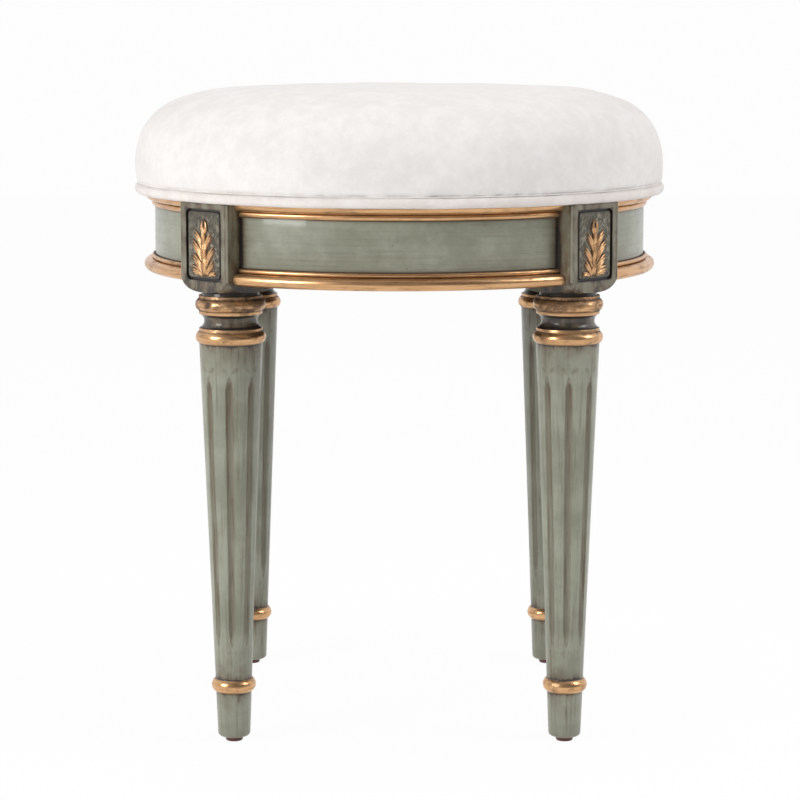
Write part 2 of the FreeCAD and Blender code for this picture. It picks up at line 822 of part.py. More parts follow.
def build_model():
    for place, turn in LEG_TURNS.items():
        make_leg(place, turn)
        make_panel(place, turn)
        make_leaf(place, turn)
        make_glide(place, turn)
    for place, turn in BAY_TURNS.items():
        make_apron(place, turn)
        make_base_moulding(place, turn)
        make_top_moulding(place, turn)
    for place, turn in CLEAT_TURNS.items():
        make_cleat(place, turn)
    make_glide_nails()
    make_dowels()
    make_seat_screws()
    make_washers()
    make_seat_board()
    make_foam()
    make_seat_cover()
    make_welt()
    make_dust_cover()
    make_staples()
    doc.recompute()


def check_model():
    for item in doc.Objects:
        if "Invalid" in item.State or "Error" in item.State:
            raise RuntimeError("%s failed: %s" % (item.Name, item.State))
    for piece in sub_parts:
        if piece.Shape.isNull() or not piece.Shape.isValid() or not piece.Shape.Solids:
            raise RuntimeError("%s has no valid solid" % piece.Label)


def write_parts():
    os.makedirs("parts", exist_ok=True)
    for piece in sub_parts:
        piece.Shape.exportStep("parts/%s.step" % piece.Label)
        print("%-26s solids %2d  volume %.0f" % (piece.Label, len(piece.Shape.Solids), piece.Shape.Volume))


build_model()
check_model()
write_parts()
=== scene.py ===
# Round vanity stool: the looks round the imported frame. Metres, +Z up, front towards -Y.
import math

import bmesh
import bpy
from mathutils import Matrix, Vector, kdtree, noise


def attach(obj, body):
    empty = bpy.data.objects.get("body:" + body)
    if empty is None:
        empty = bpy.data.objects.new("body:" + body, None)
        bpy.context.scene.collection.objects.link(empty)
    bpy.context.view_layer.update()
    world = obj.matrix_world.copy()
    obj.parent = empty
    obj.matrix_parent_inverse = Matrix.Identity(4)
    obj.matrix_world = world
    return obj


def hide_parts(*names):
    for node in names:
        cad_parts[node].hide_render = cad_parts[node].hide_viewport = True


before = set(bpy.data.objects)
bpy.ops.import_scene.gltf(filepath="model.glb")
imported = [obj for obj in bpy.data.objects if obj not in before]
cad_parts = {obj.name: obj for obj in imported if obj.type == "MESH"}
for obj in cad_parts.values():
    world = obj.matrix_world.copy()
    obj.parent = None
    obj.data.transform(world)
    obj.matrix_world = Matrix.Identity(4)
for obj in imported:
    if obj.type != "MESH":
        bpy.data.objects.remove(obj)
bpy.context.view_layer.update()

mm = 0.001
weld = 0.002 * mm                          # points nearer than this are joined
wideArc, smallArc, cornerArc = 14, 9, 6    # steps of an arc
legs = {"back_right": 45, "back_left": 135, "front_left": 225, "front_right": 315}
bays = {"back": 45, "left": 135, "front": 225, "right": 315}  # turn of each bay's first leg


# Small tools for the mesh work
def deselect():
    if bpy.context.mode != "OBJECT":
        bpy.ops.object.mode_set(mode="OBJECT")
    bpy.ops.object.select_all(action="DESELECT")


def pick(*pieces):
    deselect()
    for piece in pieces:
        piece.select_set(True)
    bpy.context.view_layer.objects.active = pieces[0]


def named(name):
    piece = bpy.context.object
    piece.name = name
    piece.data.name = name
    return piece


def edit(piece):
    pick(piece)
    bpy.ops.object.mode_set(mode="EDIT")


def selectWhere(piece, kind, test):
    # picks the vertices, edges or faces that pass a test, in edit mode
    bpy.ops.mesh.select_mode(type=kind)
    bpy.ops.mesh.select_all(action="DESELECT")
    mesh = bmesh.from_edit_mesh(piece.data)
    for item in {"VERT": mesh.verts, "EDGE": mesh.edges, "FACE": mesh.faces}[kind]:
        if test(item):
            item.select_set(True)
    mesh.select_flush_mode()
    bmesh.update_edit_mesh(piece.data)


def bow(start, end, rise, count):
    # points of an arc that stands rise off its chord; a positive rise bulges to the right of the way
    across, up = end[0] - start[0], end[1] - start[1]
    chord = math.hypot(across, up)
    half = 2 * math.atan(2 * rise / chord)
    radius = chord / 2 / math.sin(half)
    normal = (up / chord, -across / chord)
    along = (across / chord, up / chord)
    middle = ((start[0] + end[0]) / 2, (start[1] + end[1]) / 2)
    points = []
    for step in range(1, count + 1):
        turn = half * (2 * step / count - 1)
        out = rise - radius + radius * math.cos(turn)
        side = radius * math.sin(turn)
        points.append((middle[0] + normal[0] * out + along[0] * side,
                       middle[1] + normal[1] * out + along[1] * side))
    return points


def easeCorners(points, ease, sharp=25, most=0.45):
    # rounds each corner sharper than an angle, over no more than a share of its sides
    eased = [points[0]]
    for before, here, after in zip(points, points[1:], points[2:]):
        a, p, b = Vector(before), Vector(here), Vector(after)
        if math.degrees((p - a).angle(b - p, 0)) < sharp:
            eased.append(here)
            continue
        first = p + (a - p).normalized() * min(ease, (a - p).length * most)
        last = p + (b - p).normalized() * min(ease, (b - p).length * most)
        eased += [tuple(first), tuple(first * 0.25 + p * 0.5 + last * 0.25), tuple(last)]
    eased.append(points[-1])
    return eased


def around(turn, radius, height):
    # a spot at a turn about the upright axis, from sizes in millimetres
    return Vector((radius * math.cos(turn), radius * math.sin(turn), height)) * mm


def polar(spot):
    # the turn about the upright axis, and the radius in millimetres
    return math.atan2(spot.y, spot.x), math.hypot(spot.x, spot.y) / mm


def faceOutwards():
    bpy.ops.mesh.select_all(action="SELECT")
    bpy.ops.mesh.normals_make_consistent(inside=False)


def spinProfile(name, profile, steps, sweep=360):
    # draws a half section, in millimetres, as a chain of edges and spins it about the upright axis
    deselect()
    bpy.ops.mesh.primitive_plane_add(size=mm, location=(0, 0, 0))
    piece = named(name)
    bpy.ops.object.mode_set(mode="EDIT")
    bpy.ops.mesh.select_mode(type="VERT")
    bpy.ops.mesh.select_all(action="SELECT")
    bpy.ops.mesh.merge(type="CENTER")
    spots = [Vector((r * mm, 0, z * mm)) for r, z in profile]
    bpy.ops.transform.translate(value=spots[0])
    for here, there in zip(spots, spots[1:]):
        bpy.ops.mesh.extrude_region_move(TRANSFORM_OT_translate={"value": there - here})
    bpy.ops.mesh.select_all(action="SELECT")
    bpy.ops.mesh.spin(steps=steps, angle=-math.radians(sweep), center=(0, 0, 0), axis=(0, 0, 1))
    bpy.ops.mesh.select_all(action="SELECT")
    bpy.ops.mesh.remove_doubles(threshold=weld)
    faceOutwards()
    bpy.ops.object.mode_set(mode="OBJECT")
    return piece


def applyModifier(piece, kind, **settings):
    pick(piece)
    modifier = piece.modifiers.new(kind.title(), kind)
    for name, value in settings.items():
        setattr(modifier, name, value)
    bpy.ops.object.modifier_apply(modifier=modifier.name)


def cutWith(piece, cutter, operation):
    applyModifier(piece, "BOOLEAN", operation=operation, object=cutter, solver="EXACT")
    bpy.data.objects.remove(cutter, do_unlink=True)


def smooth(piece, angle=35):
    pick(piece)
    bpy.ops.object.shade_smooth_by_angle(angle=math.radians(angle))


def joined(first, *others):
    pick(first, *others)
    bpy.ops.object.join()
    return first


def keepSpots(piece):
    # keeps each point's place in the piece's own frame, which the material reads
    spots = piece.data.attributes.new("spot", "FLOAT_VECTOR", "POINT")
    spots.data.foreach_set("vector", [part for vertex in piece.data.vertices for part in vertex.co])


def settle(piece, turn, reach):
    # turns a piece about the upright axis, sets it reach away, and leaves its object at the origin
    pick(piece)
    angle = math.radians(turn)
    spot = (reach * math.cos(angle), reach * math.sin(angle), 0)
    piece.matrix_world = Matrix.Translation(spot) @ Matrix.Rotation(angle, 4, "Z")
    bpy.context.view_layer.update()
    bpy.ops.object.transform_apply(location=True, rotation=True, scale=True)


def copied(piece, name):
    twin = piece.copy()
    twin.data = piece.data.copy()
    twin.name = name
    twin.data.name = name
    bpy.context.scene.collection.objects.link(twin)
    return twin


def finishPiece(piece, material, slotName, *nodes):
    piece.data.materials.clear()
    piece.data.materials.append(material)
    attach(piece, "root")
    if nodes:
        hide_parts(*nodes)


def setOut(shapes, turns, reach, label, material, slotName, node):
    # sets a copy at each place round the stool's middle; the shapes take turns, and then go
    for number, (place, turn) in enumerate(turns.items()):
        piece = copied(shapes[number % len(shapes)], label + "_" + place)
        settle(piece, turn, reach * mm)
        finishPiece(piece, material, slotName, node + "_" + place)
    for shape in shapes:
        bpy.data.objects.remove(shape, do_unlink=True)


# Materials
class Value:
    # a shader socket that takes part in sums, which add Math nodes
    def __init__(self, shader, socket):
        self.shader = shader
        self.socket = socket

    def maths(self, operation, first, second=0.0):
        return self.shader.node("ShaderNodeMath", {"operation": operation}, {0: first, 1: second})

    def __add__(self, other):
        return self.maths("ADD", self, other)

    def __sub__(self, other):
        return self.maths("SUBTRACT", self, other)

    def __rsub__(self, other):
        return self.maths("SUBTRACT", other, self)

    def __mul__(self, other):
        return self.maths("MULTIPLY", self, other)

    def __truediv__(self, other):
        return self.maths("DIVIDE", self, other)

    def __abs__(self):
        return self.maths("ABSOLUTE", self)

    __radd__ = __add__
    __rmul__ = __mul__

    def most(self, other):
        return self.maths("MAXIMUM", self, other)

    def least(self, other):
        return self.maths("MINIMUM", self, other)

    def held(self):
        return self.shader.node("ShaderNodeClamp", {}, {"Value": self})

    def fades(self, reach):
        # 1 at nothing, falling off over reach on both sides
        return self.maths("EXPONENT", abs(self) / -reach)

    def between(self, low, high):
        # 0 below low, 1 above high and smooth in between
        return self.shader.node("ShaderNodeMapRange", {"interpolation_type": "SMOOTHSTEP"},
                                {"Value": self, "From Min": low, "From Max": high})

    def band(self, low, high, soft):
        return self.between(low - soft, low + soft) - self.between(high - soft, high + soft)


class Nodes:
    def __init__(self, tree):
        self.tree = tree

    def node(self, kind, settings, inputs, output=0):
        made = self.tree.nodes.new(kind)
        for name, value in settings.items():
            setattr(made, name, value)
        for key, value in inputs.items():
            self.feed(made.inputs[key], value)
        return Value(self, made.outputs[output])

    def feed(self, socket, value):
        if isinstance(value, Value):
            self.tree.links.new(value.socket, socket)
        elif socket.type == "RGBA":
            socket.default_value = (*value, 1)
        else:
            socket.default_value = value

    def parts(self, vector):
        return [self.node("ShaderNodeSeparateXYZ", {}, {0: vector}, part) for part in range(3)]

    def places(self, scale=(1, 1, 1)):
        # Object coordinates, stretched
        where = self.node("ShaderNodeTexCoord", {}, {}, "Object")
        return self.node("ShaderNodeVectorMath", {"operation": "MULTIPLY"}, {0: where, 1: scale})

    def spots(self):
        # the point's place in the piece's own frame, in millimetres
        spot = self.node("ShaderNodeAttribute", {"attribute_name": "spot"}, {}, "Vector")
        scaled = self.node("ShaderNodeVectorMath", {"operation": "SCALE"}, {0: spot, "Scale": 1000})
        return self.parts(scaled)

    def noise(self, where, scale, detail=3, roughness=0.5):
        return self.node("ShaderNodeTexNoise", {}, {"Vector": where, "Scale": scale, "Detail": detail,
                                                    "Roughness": roughness})

    def grain(self, scale, detail=4, roughness=0.6):
        # noise that is stretched by its scale along each axis
        return self.noise(self.places(scale), 1, detail, roughness)

    def mixed(self, share, first, second):
        return self.node("ShaderNodeMix", {"data_type": "RGBA"}, {0: share, 6: first, 7: second}, 2)

    def mixedNumber(self, share, first, second):
        return self.node("ShaderNodeMix", {"data_type": "FLOAT"}, {0: share, 2: first, 3: second})

    def bump(self, height, distance, strength=1.0, before=None):
        inputs = {"Height": height, "Distance": distance, "Strength": strength}
        if before is not None:
            inputs["Normal"] = before
        return self.node("ShaderNodeBump", {}, inputs)

    def rays(self, *kinds):
        # 1 for the kinds of ray that are named
        shares = [self.node("ShaderNodeLightPath", {}, {}, "Is %s Ray" % kind) for kind in kinds]
        total = shares[0]
        for share in shares[1:]:
            total = total.most(share)
        return total


class Shader(Nodes):
    def __init__(self, name, **constants):
        self.material = bpy.data.materials.new(name)
        self.material.use_nodes = True
        Nodes.__init__(self, self.material.node_tree)
        self.surface = self.tree.nodes["Principled BSDF"]
        for socket, value in constants.items():
            self.surface.inputs[socket.replace("_", " ")].default_value = value

    def set(self, **links):
        for socket, value in links.items():
            self.feed(self.surface.inputs[socket.replace("_", " ")], value)


print("tools")
paint = {
    "sage": (0.232, 0.240, 0.172),
    "pale": (0.315, 0.325, 0.245),
    # near-black: thick glaze, and also painted shade in the legs' sunk recesses and necks and on the
    # panels' borders
    "umber": (0.118, 0.080, 0.040),
    "sootAndShade": (0.022, 0.016, 0.011),
    "coat": 0.5, "coatRoughness": 0.09,
    "paleFrom": (0.35, 0.68),                    # reach of the clouds that pale the sage
    "streakFrom": (0.45, 0.8), "streak": 0.34,   # reach and strength of the wide brush strokes
    "fineFrom": (0.52, 0.8), "fine": 0.22,       # and of the narrow ones
    "glaze": 0.7, "glazeStreak": 0.6,            # how the glaze covers, plain and in a stroke
    "sootFrom": 0.8, "sootSpan": 0.35,           # where thick glaze, and the painted shade in the legs' recesses and neck, turns near-black
}
gold = {
    "bright": (0.80, 0.485, 0.25),
    "leaf": (0.56, 0.315, 0.15),
    "worn": (0.085, 0.042, 0.021),
    "brightFrom": (0.3, 0.75),
    "patchFrom": (0.5, 0.74), "patch": 0.5,      # reach and strength of worn patches
    "strokeFrom": (0.6, 0.8), "stroke": 0.25,
    "shine": 0.95, "dulled": 0.75,               # metallic share, and what wear takes from it
}
bare = {  # wood that the brush left alone, on the sides that face the stool's middle
    "dark": (0.34, 0.22, 0.12), "pale": (0.46, 0.32, 0.19),
    "radius": 169.6, "soft": 0.3, "low": 344, "high": 346,
}


def radiusOf(x, y):
    return x.maths("SQRT", x * x + y * y)


def paintLayers(shader, streaks, fine, clouds, rubbed, brushwork=1.0):
    # sage paint under a brown glaze; rubbed says where the glaze has stayed and, on the legs, also where
    # shade is painted in
    base = shader.mixed(clouds.between(*paint["paleFrom"]), paint["sage"], paint["pale"])
    strokes = streaks.between(*paint["streakFrom"]) * paint["streak"]
    thin = (strokes + fine.between(*paint["fineFrom"]) * paint["fine"]) * brushwork
    cover = (thin + rubbed * (paint["glaze"] + paint["glazeStreak"] * streaks)).held()
    glazed = shader.mixed(cover, base, paint["umber"])
    return shader.mixed((rubbed - paint["sootFrom"]).between(0, paint["sootSpan"]), glazed, paint["sootAndShade"])


def giltLayers(shader, brushed, patches, rubbed):
    # copper gold, rubbed through to brown; gives the colour and how far it is worn
    base = shader.mixed(brushed.between(*gold["brightFrom"]), gold["leaf"], gold["bright"])
    spots = patches.between(*gold["patchFrom"]) * gold["patch"]
    wear = (spots + brushed.between(*gold["strokeFrom"]) * gold["stroke"] + rubbed).held()
    return shader.mixed(wear, base, gold["worn"]), wear


def bareInside(shader, colour, grain):
    # bare wood within a radius, above the foot of the apron
    x, y, z = shader.parts(shader.places())
    outside = radiusOf(x, y).between((bare["radius"] - bare["soft"]) * mm, bare["radius"] * mm)
    hidden = (1 - outside) * z.between(bare["low"] * mm, bare["high"] * mm)
    wood = shader.mixed(grain.between(0.3, 0.7), bare["dark"], bare["pale"])
    return shader.mixed(hidden, colour, wood), hidden


# Turned leg with its square block, in its own frame: +X points away from the stool's middle
turning = {
    "glideTop": 3.6, "footRadius": 12.1, "footEdge": 3.0, "footTopRadius": 13.3, "footTop": 38.0,
    "footRing": 16.5, "shaftFoot": 48.2, "shaftFootRadius": 13.6,
    "shaftTop": 300.4, "shaftTopRadius": 23.3,
    "collar": 23.3, "bandHeight": 2.4, "ring": 25.9, "ringHeight": 8.9,
    "cove": 19.5, "coveHeight": 10.4, "neck": 21.0, "neckLow": 335.8,
    "tenon": 6.0,              # how far the turned part runs on inside the block
    "rows": [(55, 7, 2), (68, 1, 1), (71, 0.8, 22), (90, 11.7, 15),    # on the shaft: first, step,
             (265.4, 0.7, 21), (285, 7, 2)],                           # count; close at flute ends
    "softening": 0.35, "steps": 192,
}
flute = {
    "count": 8, "lowTip": 72.0, "highTip": 279.0, "lowTool": 3.05, "highTool": 4.1, "depth": 1.5,
    "lowTaper": 15.0, "highTaper": 11.0, "taperPower": 1.5,     # the tool leaves the wood slowly
    "columns": [0, 0.22, 0.44, 0.64, 0.8, 0.92, 1.0, 1.09, 1.22],   # as shares of the half width
    "edgeDepth": 0.08,         # least depth, as a share, that the columns are drawn together for
    "margin": 4.0, "rimSoftness": 0.3,
}
block = {
    "width": 51.6, "low": 338.5, "shoulder": 351.0, "top": 403.6, "edgeRound": 1.2,
    "recessWidth": 38.0, "recessHeight": 52.0, "recessRound": 4.0, "recessDepth": 2.6,
    "recessMiddle": 373.6, "softening": 0.35, "faceEdge": 3.5,
    "past": 5.0,               # how far a cutter reaches past the wood
    "reach": 175.2,            # stool's middle to the leg's middle
}


def shaftRadius(z):
    t = turning
    share = (z - t["shaftFoot"]) / (t["shaftTop"] - t["shaftFoot"])
    return t["shaftFootRadius"] + share * (t["shaftTopRadius"] - t["shaftFootRadius"])


def legProfile():
    t = turning
    foot, corner = t["glideTop"], t["footEdge"]
    points = [(0, foot), (t["footRadius"] - corner, foot)]
    points += bow(points[-1], (t["footRadius"], foot + corner), corner * (1 - math.sqrt(0.5)), cornerArc)
    points.append((t["footTopRadius"], t["footTop"]))
    ringRise = t["footRing"] - (t["footTopRadius"] + t["shaftFootRadius"]) / 2
    points += bow(points[-1], (t["shaftFootRadius"], t["shaftFoot"]), ringRise, wideArc)
    for first, step, count in t["rows"]:
        heights = [first + step * number for number in range(count)]
        points += [(shaftRadius(z), z) for z in heights]
    z = t["shaftTop"]
    collar = t["collar"]
    points.append((collar, z))
    for part in ("ring", "cove", "ring"):
        height = t[part + "Height"]
        points += bow((collar, z), (collar, z + height), t[part] - collar, wideArc)
        z += height + t["bandHeight"]
        points.append((collar, z))
    hidden = block["low"] + t["tenon"]
    points += [(t["neck"], z), (t["neck"], hidden), (0, hidden)]
    return easeCorners(points, t["softening"])


def cutFlutes(piece):
    # each point goes in to the surface of a round-nosed tool, and columns follow the flutes' edges
    f = flute
    sector = math.tau / f["count"]
    columnTurn = math.tau / turning["steps"]
    shares = f["columns"]
    landColumns = turning["steps"] // f["count"] // 2 - len(shares) + 1
    for vertex in piece.data.vertices:
        x, y, z = vertex.co / mm
        radius = math.hypot(x, y)
        if not f["lowTip"] - f["margin"] < z < f["highTip"] + f["margin"]:
            continue
        along = min(max((z - f["lowTip"]) / (f["highTip"] - f["lowTip"]), 0), 1)
        tool = f["lowTool"] + along * (f["highTool"] - f["lowTool"])
        share = min((z - f["lowTip"]) / f["lowTaper"], (f["highTip"] - z) / f["highTaper"], 1)
        depth = f["depth"] * max(share, 0) ** f["taperPower"]
        reach = radius + tool - depth
        seen = radius + tool - max(depth, f["depth"] * f["edgeDepth"])
        edge = math.acos((radius ** 2 + seen ** 2 - tool ** 2) / (2 * radius * seen))
        angle = math.atan2(y, x)
        flat = round(angle / sector) * sector
        column = round(abs(angle - flat) / columnTurn)
        if column < len(shares):
            offset = shares[column] * edge
        else:
            last = shares[-1] * edge
            offset = last + (column - len(shares) + 1) / landColumns * (sector / 2 - last)
        offset = math.copysign(offset, angle - flat)
        chord = tool ** 2 - (reach * math.sin(offset)) ** 2
        if chord > 0 and depth > 0:
            cut = reach * math.cos(offset) - math.sqrt(chord)
            blend = max(f["rimSoftness"] - abs(radius - cut), 0) / f["rimSoftness"]
            radius = min(radius, cut) - blend ** 2 * f["rimSoftness"] / 4 * (depth / f["depth"])
        vertex.co = around(flat + offset, radius, z)


def roundedBox(name, middle, size, axis, corner, segments):
    # a box whose edges along one axis are rounded
    deselect()
    bpy.ops.mesh.primitive_cube_add(size=mm, location=[part * mm for part in middle])
    piece = named(name)
    bpy.ops.object.transform_apply(location=True, rotation=True, scale=True)
    bpy.ops.object.mode_set(mode="EDIT")
    bpy.ops.transform.resize(value=size)
    selectWhere(piece, "EDGE",
                lambda edge: abs(edge.verts[0].co[axis] - edge.verts[1].co[axis]) > 0.1 * mm)
    bpy.ops.mesh.bevel(offset=corner * mm, segments=segments, affect="EDGES")
    deselect()
    return piece


def roundedPlate(name, front, thickness, width, height, corner):
    # an upright plate that faces +X, at the height of the recess
    middle = (front - thickness / 2, 0, block["recessMiddle"])
    return roundedBox(name, middle, (thickness, width, height), 0, corner, 6)


def squareBlock():
    b = block
    half = b["width"] / 2
    height = b["top"] - b["low"]
    piece = roundedBox("block", (0, 0, b["low"] + height / 2), (b["width"], b["width"], height), 2,
                       b["edgeRound"], 4)
    corner = half * math.sqrt(2)
    neck = turning["neck"]
    drop = b["shoulder"] - b["low"]
    start, end = (neck, b["low"]), (corner, b["shoulder"])
    bulge = (neck + (corner - neck) * math.sqrt(0.5), b["shoulder"] - drop * math.sqrt(0.5))
    chord = Vector(end) - Vector(start)
    rise = abs(chord.normalized().cross(Vector(bulge) - Vector(start)))
    rounding = [(0, b["low"]), start] + bow(start, end, rise, wideArc)
    outer, above = corner + b["past"], b["top"] + b["past"]
    rounding += [(outer, b["shoulder"] + 1), (outer, above), (0, above)]
    cutWith(piece, spinProfile("rounding", rounding, 128), "INTERSECT")
    cutWith(piece, roundedPlate("recess", half + b["past"], b["recessDepth"] + b["past"],
                                b["recessWidth"], b["recessHeight"], b["recessRound"]), "DIFFERENCE")
    applyModifier(piece, "BEVEL", width=b["softening"] * mm, segments=2, limit_method="ANGLE",
                  angle_limit=math.radians(38))
    smooth(piece, 50)
    applyModifier(piece, "WEIGHTED_NORMAL", keep_sharp=True)
    return piece


def makeLeg():
    shaft = spinProfile("leg", legProfile(), turning["steps"])
    cutFlutes(shaft)
    smooth(shaft, 50)
    leg = joined(shaft, squareBlock())
    keepSpots(leg)
    return leg


legGlazeAndShade = {  # strength of the glaze and, after it, how many millimetres it takes to fade; the recess entry is painted shadow, and the neck, side and flute edge entries are partly painted shade
    "shaftTop": {"reach": 9, "least": 0.35, "more": 0.9, "line": 1.0, "dark": 0.6},
    "shaftFoot": {"reach": 9, "least": 0.25, "more": 0.95, "line": 1.2, "dark": 0.6},
    "footTop": {"reach": 9, "least": 0.0, "more": 0.8, "line": 1.2, "dark": 0.9},
    "sole": (0.3, 4), "stain": 0.3, "stainFrom": (0.5, 0.72), "blotchFrom": (0.32, 0.68),
    "flute": 0.34, "fluteGrain": 0.35, "fluteTop": (0.5, 26), "fluteEdgeGlazeAndShade": 0.45,
    "cove": 0.85, "coveBlotch": 0.3, "coveCorner": (0.5, 2.6), "neck": 1.25,
    "face": 0.26, "faceBlotch": 0.6, "faceLine": (0.5, 0.8), "faceFoot": (0.45, 7),
    "faceTop": (0.25, 2.5),
    "side": 0.42, "sideBlotch": 0.4, "joint": (0.8, 2.2), "jointAt": 13, "sideFoot": (0.45, 8),
    "recess": 1.4, "edgeLine": (0.35, 0.35), "edgeLineAt": 2.0, "edgeWorn": 0.6,
}


def legMaterial():
    t, b, w = turning, block, legGlazeAndShade
    shader = Shader("legPaint", Coat_Weight=paint["coat"], Coat_Roughness=paint["coatRoughness"])
    x, y, z = shader.spots()
    radius = radiusOf(x, y)
    where = shader.places()
    upright = shader.places((430, 430, 11))   # streaks that run down the leg
    streaks = shader.noise(upright, 1, 4, 0.6)
    fine = shader.noise(upright, 2.7, 3, 0.65)
    clouds = shader.noise(where, 34, 4, 0.6)
    blotch = shader.grain((95, 95, 60)).between(*w["blotchFrom"])

    def fading(distance, mark):
        strength, reach = w[mark]
        return distance.fades(reach) * strength

    def gathered(mark):
        # glaze that gathered at a turned corner, in a blotched veil and a dark line
        g = w[mark]
        gap = z - t[mark]
        veil = gap.fades(g["reach"]) * (g["least"] + g["more"] * blotch)
        return veil + gap.fades(g["line"]) * g["dark"]

    # where the glaze stays: flutes, the ends of the shaft, the cove, the neck and the foot; the flutes'
    # edge lines and the near-black neck are partly painted shade
    taper = (t["shaftTopRadius"] - t["shaftFootRadius"]) / (t["shaftTop"] - t["shaftFoot"])
    depth = (z - t["shaftFoot"]) * taper + t["shaftFootRadius"] - radius
    shaft = z.band(t["shaftFoot"], t["shaftTop"], 0.05)
    fluteTop = fading(flute["highTip"] - z, "fluteTop")
    # the dark line along each flute's edges is partly glaze and partly painted shade
    flutes = depth.between(0.08, 0.8) * (w["flute"] + w["fluteGrain"] * fine + fluteTop) \
        + depth.band(0.05, 0.32, 0.05) * w["fluteEdgeGlazeAndShade"]
    stains = streaks.between(*w["stainFrom"]) * blotch * w["stain"]
    foot = z.between(t["footTop"] - 0.05, t["footTop"] + 0.05)
    footGlaze = (1 - foot) * (gathered("footTop") + stains + fading(z - t["glideTop"], "sole"))
    coveSpan = t["coveHeight"] / 2
    coveMiddle = t["shaftTop"] + t["ringHeight"] + t["bandHeight"] + coveSpan
    cove = z.band(coveMiddle - coveSpan, coveMiddle + coveSpan, 0.05)
    corner, cornerReach = w["coveCorner"]
    corners = abs(z - coveMiddle).between(coveSpan - cornerReach, coveSpan) * corner
    coveGlaze = cove * (w["cove"] + w["coveBlotch"] * blotch + corners)
    neckTop = b["low"]
    # the neck is painted near-black: glaze, and painted shade under the block's overhang
    neck = z.band(t["neckLow"], neckTop, 0.1) * w["neck"]
    shaftGlaze = flutes.most(gathered("shaftTop")).most(gathered("shaftFoot")) + stains
    turned = shaft * shaftGlaze + footGlaze + coveGlaze + neck

    # the block: its face is browner than its edges, and dark where the apron meets its sides; the sides'
    # extra darkness is partly painted shade, and the sunk recess round the panel is painted near-black as
    # painted shadow
    half = b["width"] / 2
    square = z.between(neckTop - 0.1, neckTop + 0.1)
    face = x.between(half - b["faceEdge"], half - b["faceEdge"] + 0.5)
    aside = abs(y)
    fromRecess = (aside - b["recessWidth"] / 2).most(abs(z - b["recessMiddle"]) - b["recessHeight"] / 2)
    frameGlaze = w["face"] + w["faceBlotch"] * blotch + fading(fromRecess.most(0), "faceLine") \
        + fading(z - neckTop, "faceFoot") + fading(b["top"] - z, "faceTop")
    # inside the sunk recess the paint goes near-black: a painted shadow in the gap round the panel
    paintedRecessShadow = fromRecess.between(0.1, -0.3)
    # the sides take more glaze than the face: partly glaze, partly painted shade on faces turned from the
    # light
    sideGlazeAndShade = w["side"] + w["sideBlotch"] * blotch + fading(x - w["jointAt"], "joint") \
        + fading(z - neckTop, "sideFoot")
    blockGlazeAndShade = square * (face * frameGlaze + (1 - face) * sideGlazeAndShade + face * paintedRecessShadow * w["recess"])
    edge = (half - aside).most(0) + (half - abs(x)).most(0)
    worn = square * edge.between(1.5, 0.6) * (0.3 + 0.9 * fine).held()
    edgeLine = square * fading(edge - w["edgeLineAt"], "edgeLine")
    blockGlazeAndShade = blockGlazeAndShade + edgeLine * z.between(b["low"], b["shoulder"])

    colour = paintLayers(shader, streaks, fine, clouds, turned + blockGlazeAndShade)
    colour = shader.mixed(worn * w["edgeWorn"], colour, paint["pale"])
    colour, hidden = bareInside(shader, colour, shader.grain((300, 300, 18)))

    # gilt on the rings and the bands beside them
    brushed = shader.grain((60, 60, 500))
    patches = shader.noise(where, 75, 4, 0.6)
    level = z + (clouds - 0.5) * 0.28
    band, ring = t["bandHeight"], t["ringHeight"]
    lowTop = t["shaftTop"] + ring + band
    highLow = t["neckLow"] - ring - band * 2
    gilt = level.band(t["footTop"], t["shaftFoot"], 0.12) + level.band(t["shaftTop"], lowTop, 0.12) \
        + level.band(highLow, t["neckLow"], 0.12)
    gilt = gilt * radius.between(t["footTopRadius"] - 0.6, t["footTopRadius"] - 0.2)
    grooves = (z - t["shaftTop"] - ring).fades(0.45)
    for groove, reach in ((highLow + band, 0.45), (t["neckLow"] - band, 0.55), (t["shaftTop"], 0.5),
                          (t["footTop"], 0.4), (t["shaftFoot"], 0.4)):
        grooves = grooves + (z - groove).fades(reach)
    # the upper ring has lost most of its gold, the other two some of it
    upper = level.between(highLow + band - 0.5, highLow + band + 0.5)
    lost = shader.grain((120, 120, 210), 5, 0.65).between(0.54 - 0.2 * upper, 0.66) * (0.4 + 0.4 * upper)
    goldColour, wear = giltLayers(shader, brushed, patches, grooves * 0.9 + lost)
    shader.set(
        Base_Color=shader.mixed(gilt, colour, goldColour),
        Metallic=gilt * (gold["shine"] - gold["dulled"] * wear).held(),
        Roughness=shader.mixedNumber(gilt, 0.4 + 0.14 * streaks + hidden * 0.3, 0.27 + 0.33 * wear),
        Coat_Weight=(1 - gilt) * (1 - hidden) * paint["coat"],
        Normal=shader.bump(streaks * 0.6 + fine * 0.4, 0.12 * mm, 0.45))
    return shader.material


print("legs")
setOut([makeLeg()], legs, block["reach"], "turned_leg", legMaterial(), "painted_wood", "leg")


# Sunk panels
panel = {
    "front": 25.4, "thickness": 2.2, "width": 34.8, "height": 48.8, "corner": 3.2, "edge": 0.7,
    "deep": (0.04, 0.031, 0.018), "olive": (0.10, 0.086, 0.05), "tan": (0.26, 0.235, 0.165),
    "brushed": (0.28, 0.255, 0.18),
}


